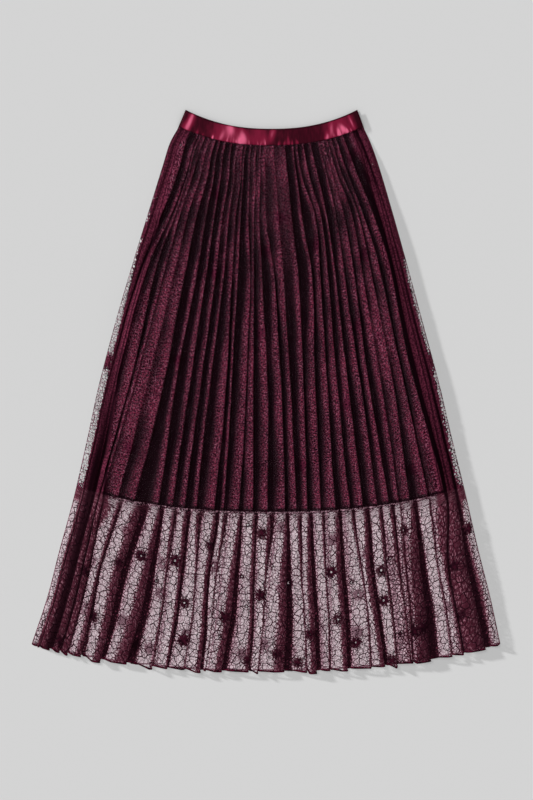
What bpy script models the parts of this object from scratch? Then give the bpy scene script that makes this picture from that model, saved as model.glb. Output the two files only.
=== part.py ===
"""A pleated lace skirt over a shorter lining, laid flat, with a curved satin waistband.

The skirt lies on its back. +Y runs up to the waistband, +X to the right and +Z out of the front.
Six cloth walls lie on each other: back lace, back lining, front lining, front lace and the two
sides of the waistband. The lace is wider and longer than the lining, and comes down to the back
lace beside it and below it.
"""

import math

import bpy

MM = 0.001

# Waistband, seen from above.
BAND_HEIGHT = 29.7
BAND_WALL = 2.7
BAND_TOP_LEFT = 140.5
BAND_TOP_RIGHT = 159.5
BAND_SAG = 33.2  # how far the ends of the band stand above its middle
BAND_SEGMENTS = 30

# Cloth.
LENGTH = 916.5  # from the band's lower edge to the lace hem, down the middle
LINING_ENDS = 0.695  # the lining's hem, as a share of that length
HEM_EXTRA_SAG = 14.0  # the ends of the hem stand this much higher still
SAG_POWER = 2.3
WALL_AT_BAND = 1.2
WALL = 1.8  # measured straight up; on the steepest pleat face it is just over 1 mm thick
GAP_AT_BAND = 0.3
GAP = 0.5
STEEPEST = 1.35  # rise over run of a pleat's steep face
WALL_FULL_AT = 0.07  # the wall and the gap reach their full size this far down

# Stations down the skirt. down: share of the length. left, right: distance of the side edges from
# the middle line. lining, lace: height of the front pleats where they lie on the lining or not.
# back: height of the back panels' folds, or None where those panels have no section.
STATION_COLUMNS = ("down", "left", "right", "lining", "lace", "back")
STATIONS = (
    (0.000, 153.0, 170.5, 0.0, 0.0, 0.0),
    (0.030, 167.0, 180.0, 2.2, 1.8, 1.2),
    (0.070, 178.5, 192.5, 3.6, 2.8, 1.9),
    (0.140, 198.5, 210.5, 4.8, 3.6, 2.5),
    (0.250, 229.5, 236.5, 5.8, 4.4, 3.0),
    (0.370, 261.5, 269.0, 6.4, 5.0, None),
    (0.500, 291.5, 300.5, 6.8, 5.4, 3.0),
    (0.600, 311.5, 322.5, 7.0, 5.6, None),
    (0.695, 330.5, 343.5, 7.0, 5.8, 3.0),
    (0.740, 340.5, 353.5, 7.0, 6.0, None),
    (0.820, 361.0, 369.5, 7.0, 6.2, 3.0),
    (0.910, 382.5, 390.5, 7.0, 6.0, None),
    (1.000, 409.5, 409.5, 7.0, 5.4, 3.0),
)

# Pleats from left to right, at three levels: a quarter of the way down, at the lining's hem and at
# the lace hem. rise: where the broad face begins. crest: its right edge, where it drops. Both are
# counted in 1500ths of the width there. deep: depth of the valley on its left, 1 being the full
# height of the pleats. hem: how far the lace hem hangs lower at the crest than at the rise, in
# millimetres.
ACROSS = 1500.0
LEVELS = (0.0, 0.25, 0.695, 1.0)
PLEAT_COLUMNS = ("rise", "crest", "deep") * 3 + ("hem",)
PLEATS = (
    (14, 40, 0.0, 12, 36, 0.0, 10, 32, 0.0, 2),
    (54, 68, 0.8, 54, 90, 0.9, 50, 84, 0.9, 2),
    (84, 128, 0.8, 116, 126, 0.8, 98, 112, 0.7, 5),
    (168, 236, 0.9, 136, 166, 0.2, 124, 150, 0.5, 9),
    (250, 296, 0.7, 190, 240, 0.8, 174, 198, 0.8, 3),
    (328, 358, 1.0, 290, 318, 1.0, 236, 286, 0.9, 10),
    (390, 414, 1.0, 350, 370, 1.0, 344, 390, 0.9, 3),
    (440, 466, 0.9, 394, 416, 0.9, 404, 438, 0.5, 3),
    (490, 510, 0.9, 444, 464, 1.0, 466, 492, 0.9, 2),
    (534, 562, 0.9, 486, 532, 0.9, 504, 544, 0.4, 6),
    (574, 584, 0.5, 556, 572, 0.9, 560, 572, 0.7, 2),
    (606, 646, 0.9, 588, 628, 0.5, 584, 608, 0.4, 2),
    (658, 676, 0.4, 644, 682, 0.7, 634, 688, 0.9, 2),
    (688, 722, 0.4, 702, 736, 0.7, 704, 730, 0.6, 5),
    (748, 770, 1.0, 762, 802, 0.9, 746, 778, 0.5, 2),
    (794, 820, 0.8, 822, 846, 0.8, 800, 826, 0.8, 3),
    (858, 896, 1.0, 866, 886, 0.8, 838, 870, 0.5, 7),
    (944, 970, 1.0, 912, 944, 0.9, 908, 942, 1.0, 2),
    (986, 1018, 0.6, 958, 994, 0.5, 954, 980, 0.4, 5),
    (1032, 1058, 0.6, 1016, 1048, 0.8, 1018, 1070, 0.9, 3),
    (1082, 1098, 0.9, 1066, 1096, 0.7, 1084, 1102, 0.5, 2),
    (1116, 1148, 0.8, 1118, 1152, 0.8, 1124, 1154, 0.8, 9),
    (1164, 1192, 0.5, 1172, 1196, 0.8, 1168, 1196, 0.5, 2),
    (1208, 1240, 0.5, 1216, 1232, 0.8, 1212, 1230, 0.6, 3),
    (1256, 1288, 0.5, 1246, 1278, 0.4, 1244, 1264, 0.5, 5),
    (1304, 1338, 0.5, 1292, 1340, 0.5, 1300, 1338, 1.0, 3),
    (1358, 1388, 0.7, 1356, 1402, 0.6, 1350, 1402, 0.4, 4),
    (1416, 1438, 0.9, 1428, 1448, 0.9, 1420, 1446, 0.8, 3),
    (1462, 1484, 0.8, 1466, 1486, 0.8, 1464, 1488, 0.8, 3),
)
HEM_RISE = 0.35  # share of a pleat's hem drop that lifts its rise; the rest lowers its crest
BACK_HEM = -0.5  # the back lace's hem steps the other way, by this share
VALLEY_AT = 0.42  # where a valley's bottom lies between a crest and the next rise
SHOULDER = 0.78  # height of a broad face at its left edge
LINING_FIRST = 2  # the lining runs from the valley before this pleat
LINING_LAST = 27  # to the valley before this one

# Eyelets of the lace that go right through: the pleat whose broad face holds one, how far down the
# skirt it lies, and its width. The back lace has the same repeat, turned about the middle pleat.
EYELET_COLUMNS = ("pleat", "down", "width")
EYELETS = (
    (1, 0.58, 5.2),
    (3, 0.20, 5.0),
    (3, 0.86, 5.2),
    (4, 0.33, 5.2),
    (4, 0.93, 5.0),
    (5, 0.60, 5.0),
    (5, 0.80, 5.6),
    (6, 0.88, 6.0),
    (7, 0.79, 5.6),
    (7, 0.94, 5.4),
    (8, 0.876, 5.4),
    (9, 0.46, 5.2),
    (9, 0.765, 5.8),
    (11, 0.30, 5.0),
    (11, 0.80, 5.2),
    (12, 0.735, 5.2),
    (12, 0.806, 6.0),
    (12, 0.876, 6.0),
    (13, 0.56, 5.2),
    (15, 0.832, 6.2),
    (15, 0.908, 5.4),
    (16, 0.24, 5.2),
    (17, 0.64, 5.2),
    (18, 0.42, 5.2),
    (18, 0.813, 5.8),
    (18, 0.90, 5.2),
    (19, 0.845, 6.0),
    (19, 0.95, 5.8),
    (21, 0.50, 5.2),
    (21, 0.82, 6.0),
    (21, 0.875, 5.8),
    (24, 0.38, 5.2),
    (24, 0.755, 5.0),
    (25, 0.92, 5.6),
    (26, 0.60, 5.2),
    (28, 0.85, 5.2),
)
CUTTER_REACH = 40.0

SATIN = ("satin", (0.36, 0.04, 0.08), 0.32)
CLOTH = ("lining cloth", (0.21, 0.02, 0.05), 0.6)
LACE = ("lace", (0.09, 0.015, 0.03), 0.75)


def blend(points, values, at):
    """Read a smooth curve through (points, values) at one place."""
    last = len(points) - 1
    slopes = []
    for index in range(last + 1):
        before = max(index - 1, 0)
        after = min(index + 1, last)
        slopes.append((values[after] - values[before]) / (points[after] - points[before]))
    span = 0
    while span < last - 1 and at > points[span + 1]:
        span += 1
    width = points[span + 1] - points[span]
    s = min(max((at - points[span]) / width, 0.0), 1.0)
    start = values[span] * (1 + 2 * s) * (1 - s) ** 2 + slopes[span] * width * s * (1 - s) ** 2
    end = values[span + 1] * s * s * (3 - 2 * s) - slopes[span + 1] * width * s * s * (1 - s)
    return start + end


def station_value(name, down):
    """Read one column of the station table at any distance down."""
    column = STATION_COLUMNS.index(name)
    rows = [row for row in STATIONS if row[column] is not None]
    return blend([row[0] for row in rows], [row[column] for row in rows], down)


def pleat_marks(number, down):
    """Return a pleat's rise and crest, in 1500ths of the width, and its valley's depth."""
    row = PLEATS[number]
    pitch = ACROSS / len(PLEATS)
    at_band = ((number + 0.30) * pitch, (number + 0.74) * pitch, 0.9)
    marks = []
    for index in range(3):
        values = [at_band[index], row[index], row[index + 3], row[index + 6]]
        marks.append(blend(LEVELS, values, down))
    return marks


def place(share, down):
    """Turn a share of the width and of the length into x and y, in millimetres."""
    left = station_value("left", down)
    right = station_value("right", down)
    sag = BAND_SAG + HEM_EXTRA_SAG * down
    x = -left + (left + right) * share
    y = -LENGTH * down - GAP_AT_BAND + sag * abs(2 * share - 1) ** SAG_POWER
    return x, y


def grow(start, end, down):
    """Grow from start at the band to end a little below it."""
    return start + (end - start) * min(down / WALL_FULL_AT, 1.0)


def section(down):
    """Return the pleated section at one station.

    Each point holds its share of the width, the height of the front pleats above their floor,
    from 0 to 1, the height of the back folds, from 0 to 1, and how far the hem drops there.
    """
    left = station_value("left", down)
    right = station_value("right", down)
    per_mark = (left + right) / ACROSS
    tall = max(station_value("lining", down), 0.001)
    back_tall = max(station_value("back", down), 0.001)
    marks = [pleat_marks(number, down) for number in range(len(PLEATS))]
    points = []
    for number, (rise, crest, deep) in enumerate(marks):
        hem = PLEATS[number][-1]
        if number == 0:
            points.append((0.0, 0.0, 0.0, 0.0))
        else:
            before = marks[number - 1][1]
            valley = before + (rise - before) * VALLEY_AT
            drop = min(deep, STEEPEST * (valley - before) * per_mark / tall)
            fold = min(deep, STEEPEST * (valley - before) * per_mark / back_tall)
            points.append((valley / ACROSS, 1.0 - drop, fold, 0.0))
        points.append((rise / ACROSS, max(SHOULDER, points[-1][1]), 0.0, -HEM_RISE * hem))
        points.append((crest / ACROSS, 1.0, 0.0, (1.0 - HEM_RISE) * hem))
    points.append((1.0, 0.0, 0.0, 0.0))
    return points


def layer_heights(down, point, on_lining):
    """Return the middle heights of the four cloth walls at one point, from the back up."""
    share, front, fold, _ = point
    wall = grow(WALL_AT_BAND, WALL, down)
    gap = grow(GAP_AT_BAND, GAP, down)
    pitch = wall + gap
    back_tall = station_value("back", down)
    edge = share in (0.0, 1.0)
    back_lace = wall / 2 + back_tall * fold
    back_lining = back_lace + pitch
    floor = wall / 2 + back_tall
    front_lining = floor + 2 * pitch
    if on_lining != "edge":
        front_lining += station_value("lining", down) * front
    if on_lining:
        front_lace = front_lining + pitch
    elif edge:
        front_lace = back_lace + pitch
    else:
        front_lace = floor + pitch + station_value("lace", down) * front
    return back_lace, back_lining, front_lining, front_lace


def lining_state(index, down):
    """Say whether a point lies on the lining, on its side edge or off it."""
    if down > LINING_ENDS + 0.001:
        return ""
    first = LINING_FIRST * 3
    last = LINING_LAST * 3
    if index in (first, last):
        return "edge"
    if first < index < last:
        return "inside"
    return "inside" if down == 0.0 else ""


def wall_object(name, rows, thicknesses, finish, collection):
    """Loft a closed wall through rows of middle points, with a thickness for each row."""
    count = len(rows[0])
    verts = []
    for row, thickness in zip(rows, thicknesses):
        for x, y, z in row:
            verts.append((x * MM, y * MM, (z + thickness / 2) * MM))
    under = len(verts)
    for row, thickness in zip(rows, thicknesses):
        for x, y, z in row:
            verts.append((x * MM, y * MM, (z - thickness / 2) * MM))
    faces = []
    for i in range(len(rows) - 1):
        for j in range(count - 1):
            a = i * count + j
            b = a + 1
            c = a + count
            d = c + 1
            faces.append((a, c, d))
            faces.append((a, d, b))
            faces.append((under + a, under + d, under + c))
            faces.append((under + a, under + b, under + d))
    rim = list(range(count))
    rim += [i * count + count - 1 for i in range(1, len(rows))]
    rim += [(len(rows) - 1) * count + j for j in range(count - 2, -1, -1)]
    rim += [i * count for i in range(len(rows) - 2, 0, -1)]
    for k, a in enumerate(rim):
        b = rim[(k + 1) % len(rim)]
        faces.append((a, b, under + b))
        faces.append((a, under + b, under + a))
    mesh = bpy.data.meshes.new(name)
    mesh.from_pydata(verts, [], faces)
    mesh.validate()
    mesh.update()
    piece = bpy.data.objects.new(name, mesh)
    piece.data.materials.append(make_material(*finish))
    collection.objects.link(piece)
    return piece


def make_material(name, colour, roughness):
    """Make a plain cloth material."""
    material = bpy.data.materials.new(name)
    material.use_nodes = True
    shader = material.node_tree.nodes["Principled BSDF"]
    shader.inputs["Base Color"].default_value = (*colour, 1.0)
    shader.inputs["Roughness"].default_value = roughness
    shader.inputs["Metallic"].default_value = 0.0
    return material


def build_panels(collection):
    """Build the four pleated panels on one shared grid of points."""
    names = ("lace_back", "lining_back", "lining_front", "lace_front")
    rows = {name: [] for name in names}
    walls = {name: [] for name in names}
    first = LINING_FIRST * 3
    last = LINING_LAST * 3
    for station in STATIONS:
        down = station[0]
        has_back = station[-1] is not None
        points = section(down)
        layers = ([], [], [], [])
        for index, point in enumerate(points):
            state = lining_state(index, down)
            x, y = place(point[0], down)
            for name, layer, height in zip(names, layers, layer_heights(down, point, state)):
                side = BACK_HEM if name.endswith("back") else 1.0
                hem = point[3] * side if down == 1.0 else 0.0
                layer.append((x, y - hem, height))
        wall = grow(WALL_AT_BAND, WALL, down)
        for name, layer in zip(names, layers):
            if name.endswith("back") and not has_back:
                continue
            if name.startswith("lining"):
                if down > LINING_ENDS + 0.001:
                    continue
                layer = layer[first:last + 1]
            rows[name].append(layer)
            walls[name].append(wall)
    panels = {}
    for name in names:
        finish = LACE if name.startswith("lace") else CLOTH
        panels[name] = wall_object(name, rows[name], walls[name], finish, collection)
    return panels


def build_bands(collection):
    """Build the two sides of the waistband, as curved flat strips."""
    left = station_value("left", 0.0)
    right = station_value("right", 0.0)
    front_bottom = BAND_WALL + 2 * GAP_AT_BAND
    for name, bottom in (("waistband_back", 0.0), ("waistband_front", front_bottom)):
        rows = []
        for s in (0.0, 1.0):
            span_left = BAND_TOP_LEFT + (left - BAND_TOP_LEFT) * s
            span_right = BAND_TOP_RIGHT + (right - BAND_TOP_RIGHT) * s
            row = []
            for step in range(BAND_SEGMENTS + 1):
                share = step / BAND_SEGMENTS
                x = -span_left + (span_left + span_right) * share
                y = BAND_HEIGHT * (1 - s) + BAND_SAG * abs(2 * share - 1) ** SAG_POWER
                row.append((x, y, bottom + BAND_WALL / 2))
            rows.append(row)
        wall_object(name, rows, [BAND_WALL] * 2, SATIN, collection)


def build_cutter(name, turned, low, high, collection):
    """Join one six-sided prism for each eyelet into one cutter."""
    verts = []
    faces = []
    for number, down, width in EYELETS:
        if turned:
            number = len(PLEATS) - 1 - number
        rise, crest, _ = pleat_marks(number, down)
        x, y = place((rise + crest) / 2 / ACROSS, down)
        start = len(verts)
        for z in (low, high):
            for corner in range(6):
                angle = math.radians(60 * corner)
                verts.append((
                    (x + width / 2 * math.cos(angle)) * MM,
                    (y + width / 2 * math.sin(angle)) * MM,
                    z * MM,
                ))
        faces.append([start + k for k in range(5, -1, -1)])
        faces.append([start + 6 + k for k in range(6)])
        for k in range(6):
            n = (k + 1) % 6
            faces.append([start + k, start + n, start + 6 + n, start + 6 + k])
    mesh = bpy.data.meshes.new(name)
    mesh.from_pydata(verts, [], faces)
    mesh.update()
    cutter = bpy.data.objects.new(name, mesh)
    cutter.hide_render = True
    cutter.display_type = "WIRE"
    collection.objects.link(cutter)
    return cutter


def cut(piece, cutter):
    """Cut the eyelets out of a panel."""
    modifier = piece.modifiers.new("eyelets", "BOOLEAN")
    modifier.operation = "DIFFERENCE"
    modifier.solver = "EXACT"
    modifier.object = cutter


def centre_on_the_box(collections):
    """Move every mesh so that the origin is under the middle of the skirt's box."""
    pieces = [piece for collection in collections for piece in collection.objects]
    solids = [piece for piece in collections[0].objects]
    xs = [vert.co.x for piece in solids for vert in piece.data.vertices]
    ys = [vert.co.y for piece in solids for vert in piece.data.vertices]
    middle_x = (min(xs) + max(xs)) / 2
    middle_y = (min(ys) + max(ys)) / 2
    for piece in pieces:
        for vert in piece.data.vertices:
            vert.co.x -= middle_x
            vert.co.y -= middle_y


def main():
    for item in list(bpy.data.objects):
        bpy.data.objects.remove(item, do_unlink=True)
    skirt = bpy.data.collections.new("pleated_lace_skirt")
    cutters = bpy.data.collections.new("cutters")
    bpy.context.scene.collection.children.link(skirt)
    bpy.context.scene.collection.children.link(cutters)
    panels = build_panels(skirt)
    build_bands(skirt)
    front = build_cutter("front_eyelets", False, -CUTTER_REACH, CUTTER_REACH, cutters)
    back = build_cutter("back_eyelets", True, -CUTTER_REACH, CUTTER_REACH, cutters)
    cut(panels["lace_front"], front)
    cut(panels["lace_back"], back)
    centre_on_the_box((skirt, cutters))


main()
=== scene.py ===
"""Looks of a pleated lace skirt that lies flat on its back.

The skirt is worked out on one chart of pleats. Each cloth is a grid surface: across it runs a
smooth curve through the pleats' folds, and down it the folds follow the outline. Threads, stars,
eyelets and hems are drawn on the flat cloth and carried onto the folded one.
All sizes are in metres. +Y runs to the waistband, +X to the right and +Z out of the front.
"""

import logging
import math
from dataclasses import dataclass, field
from enum import Enum
from typing import Callable, Optional, Union

import bpy
import numpy as np
from bpy.types import Material, NodeSocket, Object
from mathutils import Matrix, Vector
from mathutils.geometry import delaunay_2d_cdt

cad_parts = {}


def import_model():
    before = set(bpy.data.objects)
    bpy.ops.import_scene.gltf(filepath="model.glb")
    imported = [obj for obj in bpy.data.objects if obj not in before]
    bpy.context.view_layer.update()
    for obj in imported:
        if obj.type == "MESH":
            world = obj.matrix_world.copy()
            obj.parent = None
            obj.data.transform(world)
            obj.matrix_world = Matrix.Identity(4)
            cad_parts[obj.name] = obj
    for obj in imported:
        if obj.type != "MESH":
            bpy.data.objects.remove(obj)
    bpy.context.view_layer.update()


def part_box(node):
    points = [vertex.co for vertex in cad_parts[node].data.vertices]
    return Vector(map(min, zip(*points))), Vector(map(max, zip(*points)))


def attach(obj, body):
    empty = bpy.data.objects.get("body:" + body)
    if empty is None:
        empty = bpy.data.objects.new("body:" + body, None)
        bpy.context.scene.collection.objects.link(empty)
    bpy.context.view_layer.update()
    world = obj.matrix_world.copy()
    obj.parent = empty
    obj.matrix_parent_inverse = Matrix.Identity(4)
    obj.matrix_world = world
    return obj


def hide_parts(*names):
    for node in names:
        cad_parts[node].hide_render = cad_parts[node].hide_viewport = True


LOG = logging.getLogger("pleated_lace_skirt")
MM = 0.001
Array = np.ndarray
PAST_HEM = (0.0005, 0.0026)  # shares of the length over which the lining's look ends, past its hem
BODY = "root"


# --- small numeric helpers ---------------------------------------------------------------------


def smoothstep(low: float, high: float, at: Array) -> Array:
    """Rise smoothly from 0 at low to 1 at high: 3s squared minus 2s cubed.

    Args:
        low: where the rise starts.
        high: where it ends.
        at: where it is read.

    Returns:
        The rise at each place.
    """
    s = np.clip((at - low) / (high - low), 0.0, 1.0)
    return s * s * (3.0 - 2.0 * s)


def plateau(low: float, rise: float, fall: float, high: float, at: Array) -> Array:
    """Rise smoothly from 0 at low to 1 at rise, and fall again from 1 at fall to 0 at high."""
    return smoothstep(low, rise, at) * smoothstep(-high, -fall, -at)


def smooth_read(points: Array, values: Array, at: Array) -> Array:
    """Read a cubic Hermite curve through points, its slopes taken from the neighbours.

    Args:
        points: increasing places.
        values: a row of values for each.
        at: where the curve is read.

    Returns:
        One row of values for each place.
    """
    points = np.asarray(points, float)
    values = np.asarray(values, float)
    order = np.arange(len(points))
    before = np.maximum(order - 1, 0)
    after = np.minimum(order + 1, len(points) - 1)
    extra = (1,) * (values.ndim - 1)
    slopes = (values[after] - values[before]) / (points[after] - points[before]).reshape(-1, *extra)
    at = np.atleast_1d(np.asarray(at, float))
    span = np.clip(np.searchsorted(points, at, side="right") - 1, 0, len(points) - 2)
    width = (points[span + 1] - points[span]).reshape(-1, *extra)
    s = np.clip((at - points[span]).reshape(-1, *extra) / width, 0.0, 1.0)
    start = values[span] * (1 + 2 * s) * (1 - s) ** 2 + slopes[span] * width * s * (1 - s) ** 2
    end = values[span + 1] * s * s * (3 - 2 * s) - slopes[span + 1] * width * s * s * (1 - s)
    return start + end


def wander(count: int, at: Array, rng: np.random.Generator, waves: tuple) -> Array:
    """Draw smooth uneven lines: means of sines with random phases.

    Args:
        count: how many lines.
        at: the places along them, from 0 to 1.
        rng: the source of the phases.
        waves: how many waves each sine has over the length.

    Returns:
        One row for each place and one column for each line.
    """
    total = np.zeros((len(at), count))
    for wave in waves:
        phase = rng.uniform(0, 2 * math.pi, count)
        pace = wave * rng.uniform(0.75, 1.25, count)
        total += np.sin(2 * math.pi * pace * at[:, None] + phase)
    return total / len(waves)


def fold_curve(controls: Array, samples: int) -> Array:
    """Draw a quadratic B-spline: (1-s)^2, 2s(1-s) and s^2 weigh midpoint, point and midpoint.

    Args:
        controls: rows, control points, values.
        samples: steps for each control point.

    Returns:
        Rows, points, values, from the first control point to the last.
    """
    middles = (controls[:, :-1] + controls[:, 1:]) / 2
    first = middles[:, :-1, None]
    last = middles[:, 1:, None]
    pull = controls[:, 1:-1, None]
    s = (np.arange(samples) / samples)[None, None, :, None]
    arcs = (1 - s) ** 2 * first + 2 * s * (1 - s) * pull + s * s * last
    flat = arcs.reshape(len(controls), -1, controls.shape[-1])
    return np.concatenate([controls[:, :1], flat, middles[:, -1:], controls[:, -1:]], axis=1)


def srgb(red: float, green: float, blue: float) -> tuple[float, float, float, float]:
    """Turn a colour as seen, from 0 to 255, into a shader's linear one.

    Args:
        red: red as seen.
        green: green as seen.
        blue: blue as seen.

    Returns:
        The linear colour, with an alpha of 1.
    """
    seen = np.array([red, green, blue]) / 255
    linear = np.where(seen <= 0.04045, seen / 12.92, ((seen + 0.055) / 1.055) ** 2.4)
    return (*[float(value) for value in linear], 1.0)


# --- the chart of pleats -----------------------------------------------------------------------


@dataclass(frozen=True)
class Outline:
    """The skirt's outline, seen from above, with the waistband's lower edge at the top.

    stations holds one row a station: the share of the length, and the distances of the left and
    the right edge from the middle line, in millimetres.
    """

    length: float = 916.5 * MM
    sag: float = 33.2 * MM
    hem_sag: float = 14.0 * MM
    sag_power: float = 2.3
    stations: tuple = (
        (0.000, 153.0, 170.5),
        (0.030, 168.0, 183.0),
        (0.070, 179.5, 196.0),
        (0.140, 199.0, 215.0),
        (0.250, 229.5, 243.0),
        (0.370, 261.5, 272.0),
        (0.500, 292.5, 303.5),
        (0.600, 312.0, 324.5),
        (0.695, 331.5, 345.5),
        (0.740, 341.5, 355.0),
        (0.820, 361.5, 371.5),
        (0.910, 382.5, 392.0),
        (1.000, 409.5, 409.5),
    )

    def edges(self, down: Array) -> Array:
        """Return the left and right edge distances at each share of the length."""
        table = np.array(self.stations)
        return smooth_read(table[:, 0], table[:, 1:] * MM, down)

    def place(self, share: Array, down: Array, top: float) -> tuple:
        """Turn shares of the width and of the length into x and y.

        x runs straight from edge to edge. y falls with the length and rises towards the edges by the
        sag times |2 share - 1| to the sag power.

        Args:
            share: rows of shares of the width.
            down: one share of the length for each row.
            top: y of the waistband's lower edge at the middle.

        Returns:
            x and y, of the shape of share.
        """
        left, right = self.edges(down).T[:, :, None]
        fall = down[:, None]
        bend = (self.sag + self.hem_sag * fall) * np.abs(2 * share - 1) ** self.sag_power
        return -left + (left + right) * share, top - self.length * fall + bend


@dataclass
class Zones:
    """Where the pleats lie, in rows down and pleats across, as shares of the width.

    A gap runs from last, the crest of the pleat before, to rise. A face runs from rise to crest.
    depth is the depth of the gap, from 0 to 1.
    """

    last: Array
    rise: Array
    crest: Array
    depth: Array


@dataclass(frozen=True)
class Pleat:
    """One pleat, in 2800ths of the width at each level of the chart.

    rise is where its broad face begins and crest where that face ends. deep is the depth of the
    valley on its left at the chart's three depth levels, from 0 to 1. hem is how far the hem hangs
    lower at the crest than at the rise, in millimetres.
    """

    rise: tuple
    crest: tuple
    deep: tuple
    hem: float


# The pleats from left to right, as Pleat's rise, crest, deep and hem.
PLEAT_ROWS = (
    ((16, 16, 14, 10, 10, 10, 8, 8), (40, 46, 46, 34, 38, 38, 30, 28), (0.0, 0.0, 0.0), 1),
    ((62, 72, 66, 44, 46, 45, 38, 36), (178, 205, 165, 70, 56, 54, 47, 44), (0.3, 0.2, 0.2), 2),
    ((250, 262, 226, 112, 78, 62, 54, 50), (298, 312, 268, 160, 132, 96, 82, 74), (0.9, 0.4, 0.6), 3),
    ((314, 326, 286, 204, 172, 142, 130, 126), (338, 342, 306, 240, 246, 166, 150, 150),
     (0.6, 0.4, 1.0), 4),
    ((352, 354, 320, 288, 266, 178, 178, 176), (402, 398, 352, 328, 290, 194, 196, 200),
     (0.4, 0.7, 0.6), 6),
    ((428, 440, 386, 352, 306, 214, 222, 222), (476, 490, 438, 425, 388, 302, 264, 252),
     (0.4, 0.2, 0.6), 3),
    ((520, 540, 480, 462, 436, 346, 290, 318), (562, 578, 536, 525, 514, 416, 358, 358),
     (0.4, 0.4, 0.6), 9),
    ((600, 630, 606, 606, 580, 530, 464, 440), (628, 654, 642, 645, 612, 590, 540, 478),
     (0.7, 1.0, 0.9), 3),
    ((682, 712, 710, 706, 686, 642, 642, 618), (718, 742, 736, 742, 730, 692, 708, 702),
     (0.7, 1.0, 0.95), 8),
    ((778, 812, 800, 800, 778, 736, 724, 728), (810, 850, 826, 838, 822, 778, 792, 796),
     (0.7, 1.0, 0.35), 3),
    ((868, 892, 884, 894, 868, 832, 830, 816), (900, 918, 906, 922, 898, 866, 906, 906),
     (0.6, 0.9, 0.8), 2),
    ((945, 978, 950, 962, 966, 912, 920, 914), (980, 1010, 986, 1006, 1036, 992, 970, 976),
     (0.3, 0.9, 0.35), 7),
    ((1004, 1024, 1020, 1042, 1062, 1040, 1006, 1026), (1028, 1036, 1040, 1062, 1080, 1062, 1040, 1036),
     (0.5, 0.8, 0.8), 2),
    ((1072, 1092, 1100, 1144, 1128, 1094, 1046, 1040), (1102, 1120, 1136, 1196, 1206, 1172, 1122, 1086),
     (1.0, 1.0, 0.4), 3),
    ((1140, 1158, 1174, 1208, 1216, 1202, 1198, 1162), (1180, 1200, 1202, 1234, 1263, 1272, 1272, 1270),
     (0.4, 0.6, 0.9), 2),
    ((1212, 1228, 1228, 1264, 1308, 1310, 1306, 1308), (1248, 1262, 1264, 1314, 1383, 1376, 1366, 1346),
     (0.3, 1.0, 0.5), 6),
    ((1280, 1288, 1298, 1394, 1428, 1428, 1380, 1354), (1318, 1326, 1342, 1442, 1498, 1503, 1460, 1434),
     (0.4, 1.0, 0.4), 2),
    ((1372, 1396, 1424, 1464, 1534, 1534, 1550, 1552), (1440, 1466, 1492, 1532, 1578, 1588, 1612, 1638),
     (0.2, 1.0, 0.9), 4),
    ((1500, 1504, 1546, 1640, 1632, 1628, 1624, 1646), (1610, 1622, 1646, 1688, 1690, 1664, 1648, 1660),
     (0.2, 1.0, 0.35), 8),
    ((1690, 1702, 1724, 1786, 1712, 1704, 1712, 1724), (1730, 1742, 1764, 1830, 1790, 1765, 1772, 1772),
     (0.9, 0.9, 1.0), 2),
    ((1760, 1768, 1862, 1858, 1824, 1790, 1785, 1784), (1792, 1804, 1926, 1918, 1890, 1864, 1846, 1852),
     (1.0, 0.9, 0.4), 5),
    ((1838, 1850, 1938, 1944, 1918, 1912, 1910, 1906), (1886, 1904, 1988, 1998, 1972, 1976, 2015, 2020),
     (0.7, 0.8, 0.8), 3),
    ((1936, 1956, 2038, 2044, 2010, 2002, 2030, 2034), (1990, 2012, 2058, 2070, 2062, 2066, 2042, 2082),
     (0.7, 1.0, 0.4), 2),
    ((2084, 2098, 2118, 2110, 2104, 2110, 2104, 2126), (2124, 2134, 2166, 2162, 2166, 2170, 2172, 2176),
     (0.9, 1.0, 1.0), 9),
    ((2144, 2152, 2184, 2196, 2194, 2206, 2190, 2188), (2186, 2204, 2258, 2262, 2237, 2252, 2262, 2266),
     (0.3, 0.8, 0.4), 2),
    ((2212, 2224, 2286, 2278, 2280, 2290, 2270, 2236), (2246, 2260, 2344, 2344, 2338, 2326, 2304, 2262),
     (0.3, 0.9, 0.5), 3),
    ((2268, 2280, 2384, 2366, 2362, 2338, 2312, 2280), (2306, 2316, 2416, 2430, 2434, 2398, 2340, 2302),
     (0.5, 0.5, 0.35), 5),
    ((2336, 2350, 2424, 2450, 2454, 2452, 2446, 2430), (2376, 2388, 2460, 2518, 2520, 2534, 2512, 2498),
     (0.6, 0.5, 1.0), 3),
    ((2400, 2418, 2506, 2556, 2534, 2546, 2526, 2514), (2478, 2496, 2566, 2622, 2596, 2648, 2558, 2568),
     (0.9, 0.8, 0.35), 4),
    ((2528, 2556, 2642, 2662, 2640, 2678, 2590, 2582), (2620, 2642, 2702, 2700, 2690, 2704, 2642, 2634),
     (1.0, 0.9, 0.6), 3),
    ((2700, 2708, 2732, 2742, 2744, 2750, 2742, 2750), (2744, 2752, 2766, 2780, 2784, 2786, 2786, 2786),
     (0.4, 0.5, 1.0), 3),
)


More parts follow.
